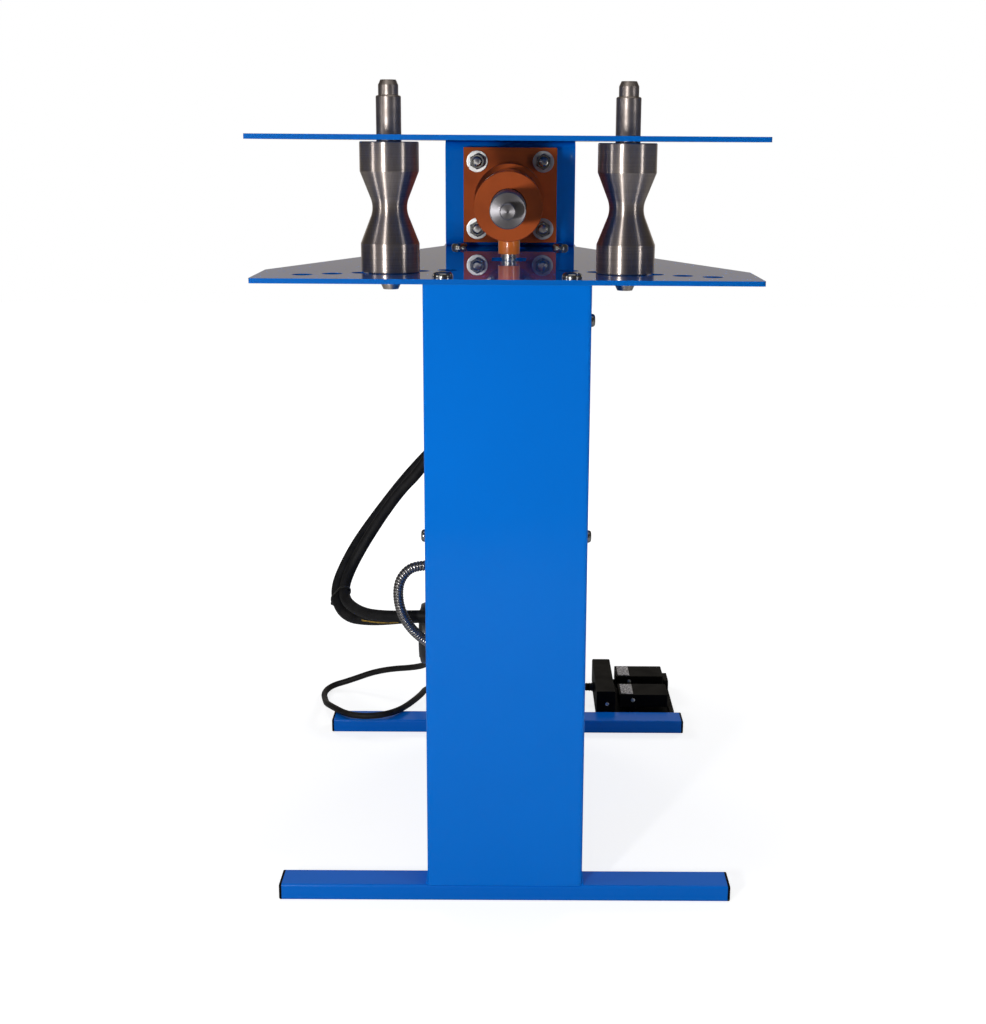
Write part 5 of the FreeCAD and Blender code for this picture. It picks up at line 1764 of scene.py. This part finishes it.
floor_half = 8.0
glow_near = 0.5
glow_far = 1.5
near_strength = 0.78
mirrored_floor = 0.06
floor_mesh = bpy.data.meshes.new("floor")
floor_mesh.from_pydata(
    [
        (-floor_half, -floor_half, 0),
        (floor_half, -floor_half, 0),
        (floor_half, floor_half, 0),
        (-floor_half, floor_half, 0),
    ],
    [],
    [(0, 1, 2, 3)],
)
floor = bpy.data.objects.new("floor", floor_mesh)
bpy.context.scene.collection.objects.link(floor)
floor_finish = new_finish("floor_finish", Roughness=0.9, Specular_IOR_Level=0.0)
floor_shader = floor_finish.node_tree.nodes["Principled BSDF"]
floor_shader.inputs["Base Color"].default_value = (0.5, 0.5, 0.5, 1)
floor_shader.inputs["Emission Color"].default_value = (1, 1, 1, 1)
floor_tree = floor_finish.node_tree
floor_path = add_node(floor_tree, "ShaderNodeLightPath")
floor_place = add_node(floor_tree, "ShaderNodeTexCoord")
floor_reach = add_node(
    floor_tree,
    "ShaderNodeVectorMath",
    [(0, floor_place.outputs["Object"])],
    operation="LENGTH",
)
floor_distance = floor_reach.outputs["Value"]
floor_glow = remap(floor_tree, floor_distance, glow_near, glow_far, near_strength, 1.0)


def mirror_rays(tree, path):
    """A value of one for rays that a surface mirrors or lets through, and none for others."""
    glossy = path.outputs["Is Glossy Ray"]
    return combine(tree, "MAXIMUM", glossy, path.outputs["Is Transmission Ray"])


reflected = mirror_rays(floor_tree, floor_path)
in_camera = floor_path.outputs["Is Camera Ray"]
seen = combine(floor_tree, "MULTIPLY_ADD", reflected.outputs[0], mirrored_floor, in_camera)
glow = combine(floor_tree, "MULTIPLY", seen.outputs[0], floor_glow.outputs[0])
floor_tree.links.new(glow.outputs[0], floor_shader.inputs["Emission Strength"])
floor_mesh.materials.append(floor_finish)

world = bpy.data.worlds.new("studio")
world.use_nodes = True
bpy.context.scene.world = world
tree = world.node_tree
tree.nodes.clear()
ambient_strength = 0.14
side_glow = 0.07
back_glow = 0.38
back_from = 0.72
back_full = 0.88
panel_direction = (-0.62, -0.75, 0.2)
panel_glow = 0.45
panel_rim = 0.72
panel_low = 0.25
panel_high = 0.5
warm_white = (1, 0.92, 0.82, 1)
path = add_node(tree, "ShaderNodeLightPath")
direction = add_node(tree, "ShaderNodeTexCoord")
parts = add_node(tree, "ShaderNodeSeparateXYZ", [(0, direction.outputs["Generated"])])
behind = remap(tree, parts.outputs["Y"], back_from, back_full, side_glow, back_glow)
toward_panel = add_node(
    tree,
    "ShaderNodeVectorMath",
    [(0, direction.outputs["Generated"]), (1, panel_direction)],
    operation="DOT_PRODUCT",
)
panel = remap(tree, toward_panel.outputs["Value"], panel_rim, 1.0, 0.0, panel_glow)
level = remap(tree, parts.outputs["Z"], panel_low, panel_high, 1.0, 0.0)
mirrored_strength = combine(
    tree, "MULTIPLY_ADD", panel.outputs[0], level.outputs[0], behind.outputs[0]
)
white = add_node(tree, "ShaderNodeBackground", [(0, (1, 1, 1, 1)), (1, 1.0)])
mirrored = add_node(tree, "ShaderNodeBackground", [(0, warm_white)])
tree.links.new(mirrored_strength.outputs[0], mirrored.inputs[1])
ambient = add_node(tree, "ShaderNodeBackground", [(0, (1, 1, 1, 1)), (1, ambient_strength)])
reflected = mirror_rays(tree, path)
lit = add_node(
    tree,
    "ShaderNodeMixShader",
    [(0, reflected.outputs[0]), (1, ambient.outputs[0]), (2, mirrored.outputs[0])],
)
seen_sky = add_node(
    tree,
    "ShaderNodeMixShader",
    [(0, path.outputs["Is Camera Ray"]), (1, lit.outputs[0]), (2, white.outputs[0])],
)
add_node(tree, "ShaderNodeOutputWorld", [(0, seen_sky.outputs[0])])


def hang_lamp(name, place, aim, width, height, power, mirrored=True):
    """A soft rectangular lamp at a place, aimed at a point. Gloss shows it only if mirrored."""
    data = bpy.data.lights.new(name, "AREA")
    data.shape = "RECTANGLE"
    data.size = width
    data.size_y = height
    data.energy = power
    lamp = bpy.data.objects.new(name, data)
    bpy.context.scene.collection.objects.link(lamp)
    way = Vector(aim) - Vector(place)
    lamp.rotation_mode = "QUATERNION"
    lamp.rotation_quaternion = way.to_track_quat("-Z", "Y")
    lamp.location = place
    lamp.visible_glossy = mirrored
    return lamp


hang_lamp("left_strip_high", (-1.05, -0.85, 1.30), (0, -0.3, 1.28), 0.12, 0.2, 0.35, False)
hang_lamp("right_strip_high", (2.1, -1.7, 1.56), (0, -0.2, 1.2), 0.25, 0.68, 3.8, False)
hang_lamp("top_lamp", (0, -0.5, 3.4), (0, 0, 0), 2.4, 2.4, 11)
hang_lamp("back_left_lamp", (-1.7, 2.3, 1.9), (0, 0, 0.5), 0.8, 0.8, 17, False)
hang_lamp("back_right_lamp", (1.7, 2.3, 1.9), (0, 0, 0.5), 0.8, 0.8, 17, False)

# The flat sheets get the front lamps' light without their mirror images: each lamp has a twin that
# gloss doesn't show, and the lamp lights all but the sheets, and its twin only the sheets.
flat_sheets = [
    "lower_plate",
    "upper_plate",
    "column",
    "column_back_cover",
    "rear_post",
    "cylinder_bracket",
    "oil_tank",
    "tank_lid",
]
for name, place, aim, width, height, power in (
    ("main_lamp", (-0.85, -2.40, 0.90), (0, -0.4, 0.7), 0.12, 0.24, 21),
    ("left_strip", (-1.05, -0.85, 0.85), (0, -0.3, 0.83), 0.12, 0.7, 1.3),
    ("right_strip", (2.1, -1.7, 0.76), (0, -0.2, 0.70), 0.25, 0.92, 5.4),
):
    for ending, mirrored, state in (("", True, "EXCLUDE"), ("_on_sheets", False, "INCLUDE")):
        lamp = hang_lamp(name + ending, place, aim, width, height, power, mirrored)
        lit = bpy.data.collections.new(lamp.name)
        for sheet in flat_sheets:
            lit.objects.link(nodes[sheet])
        for link in lit.collection_objects:
            link.light_linking.link_state = state
        lamp.light_linking.receiver_collection = lit

bpy.context.scene.view_settings.view_transform = "Standard"
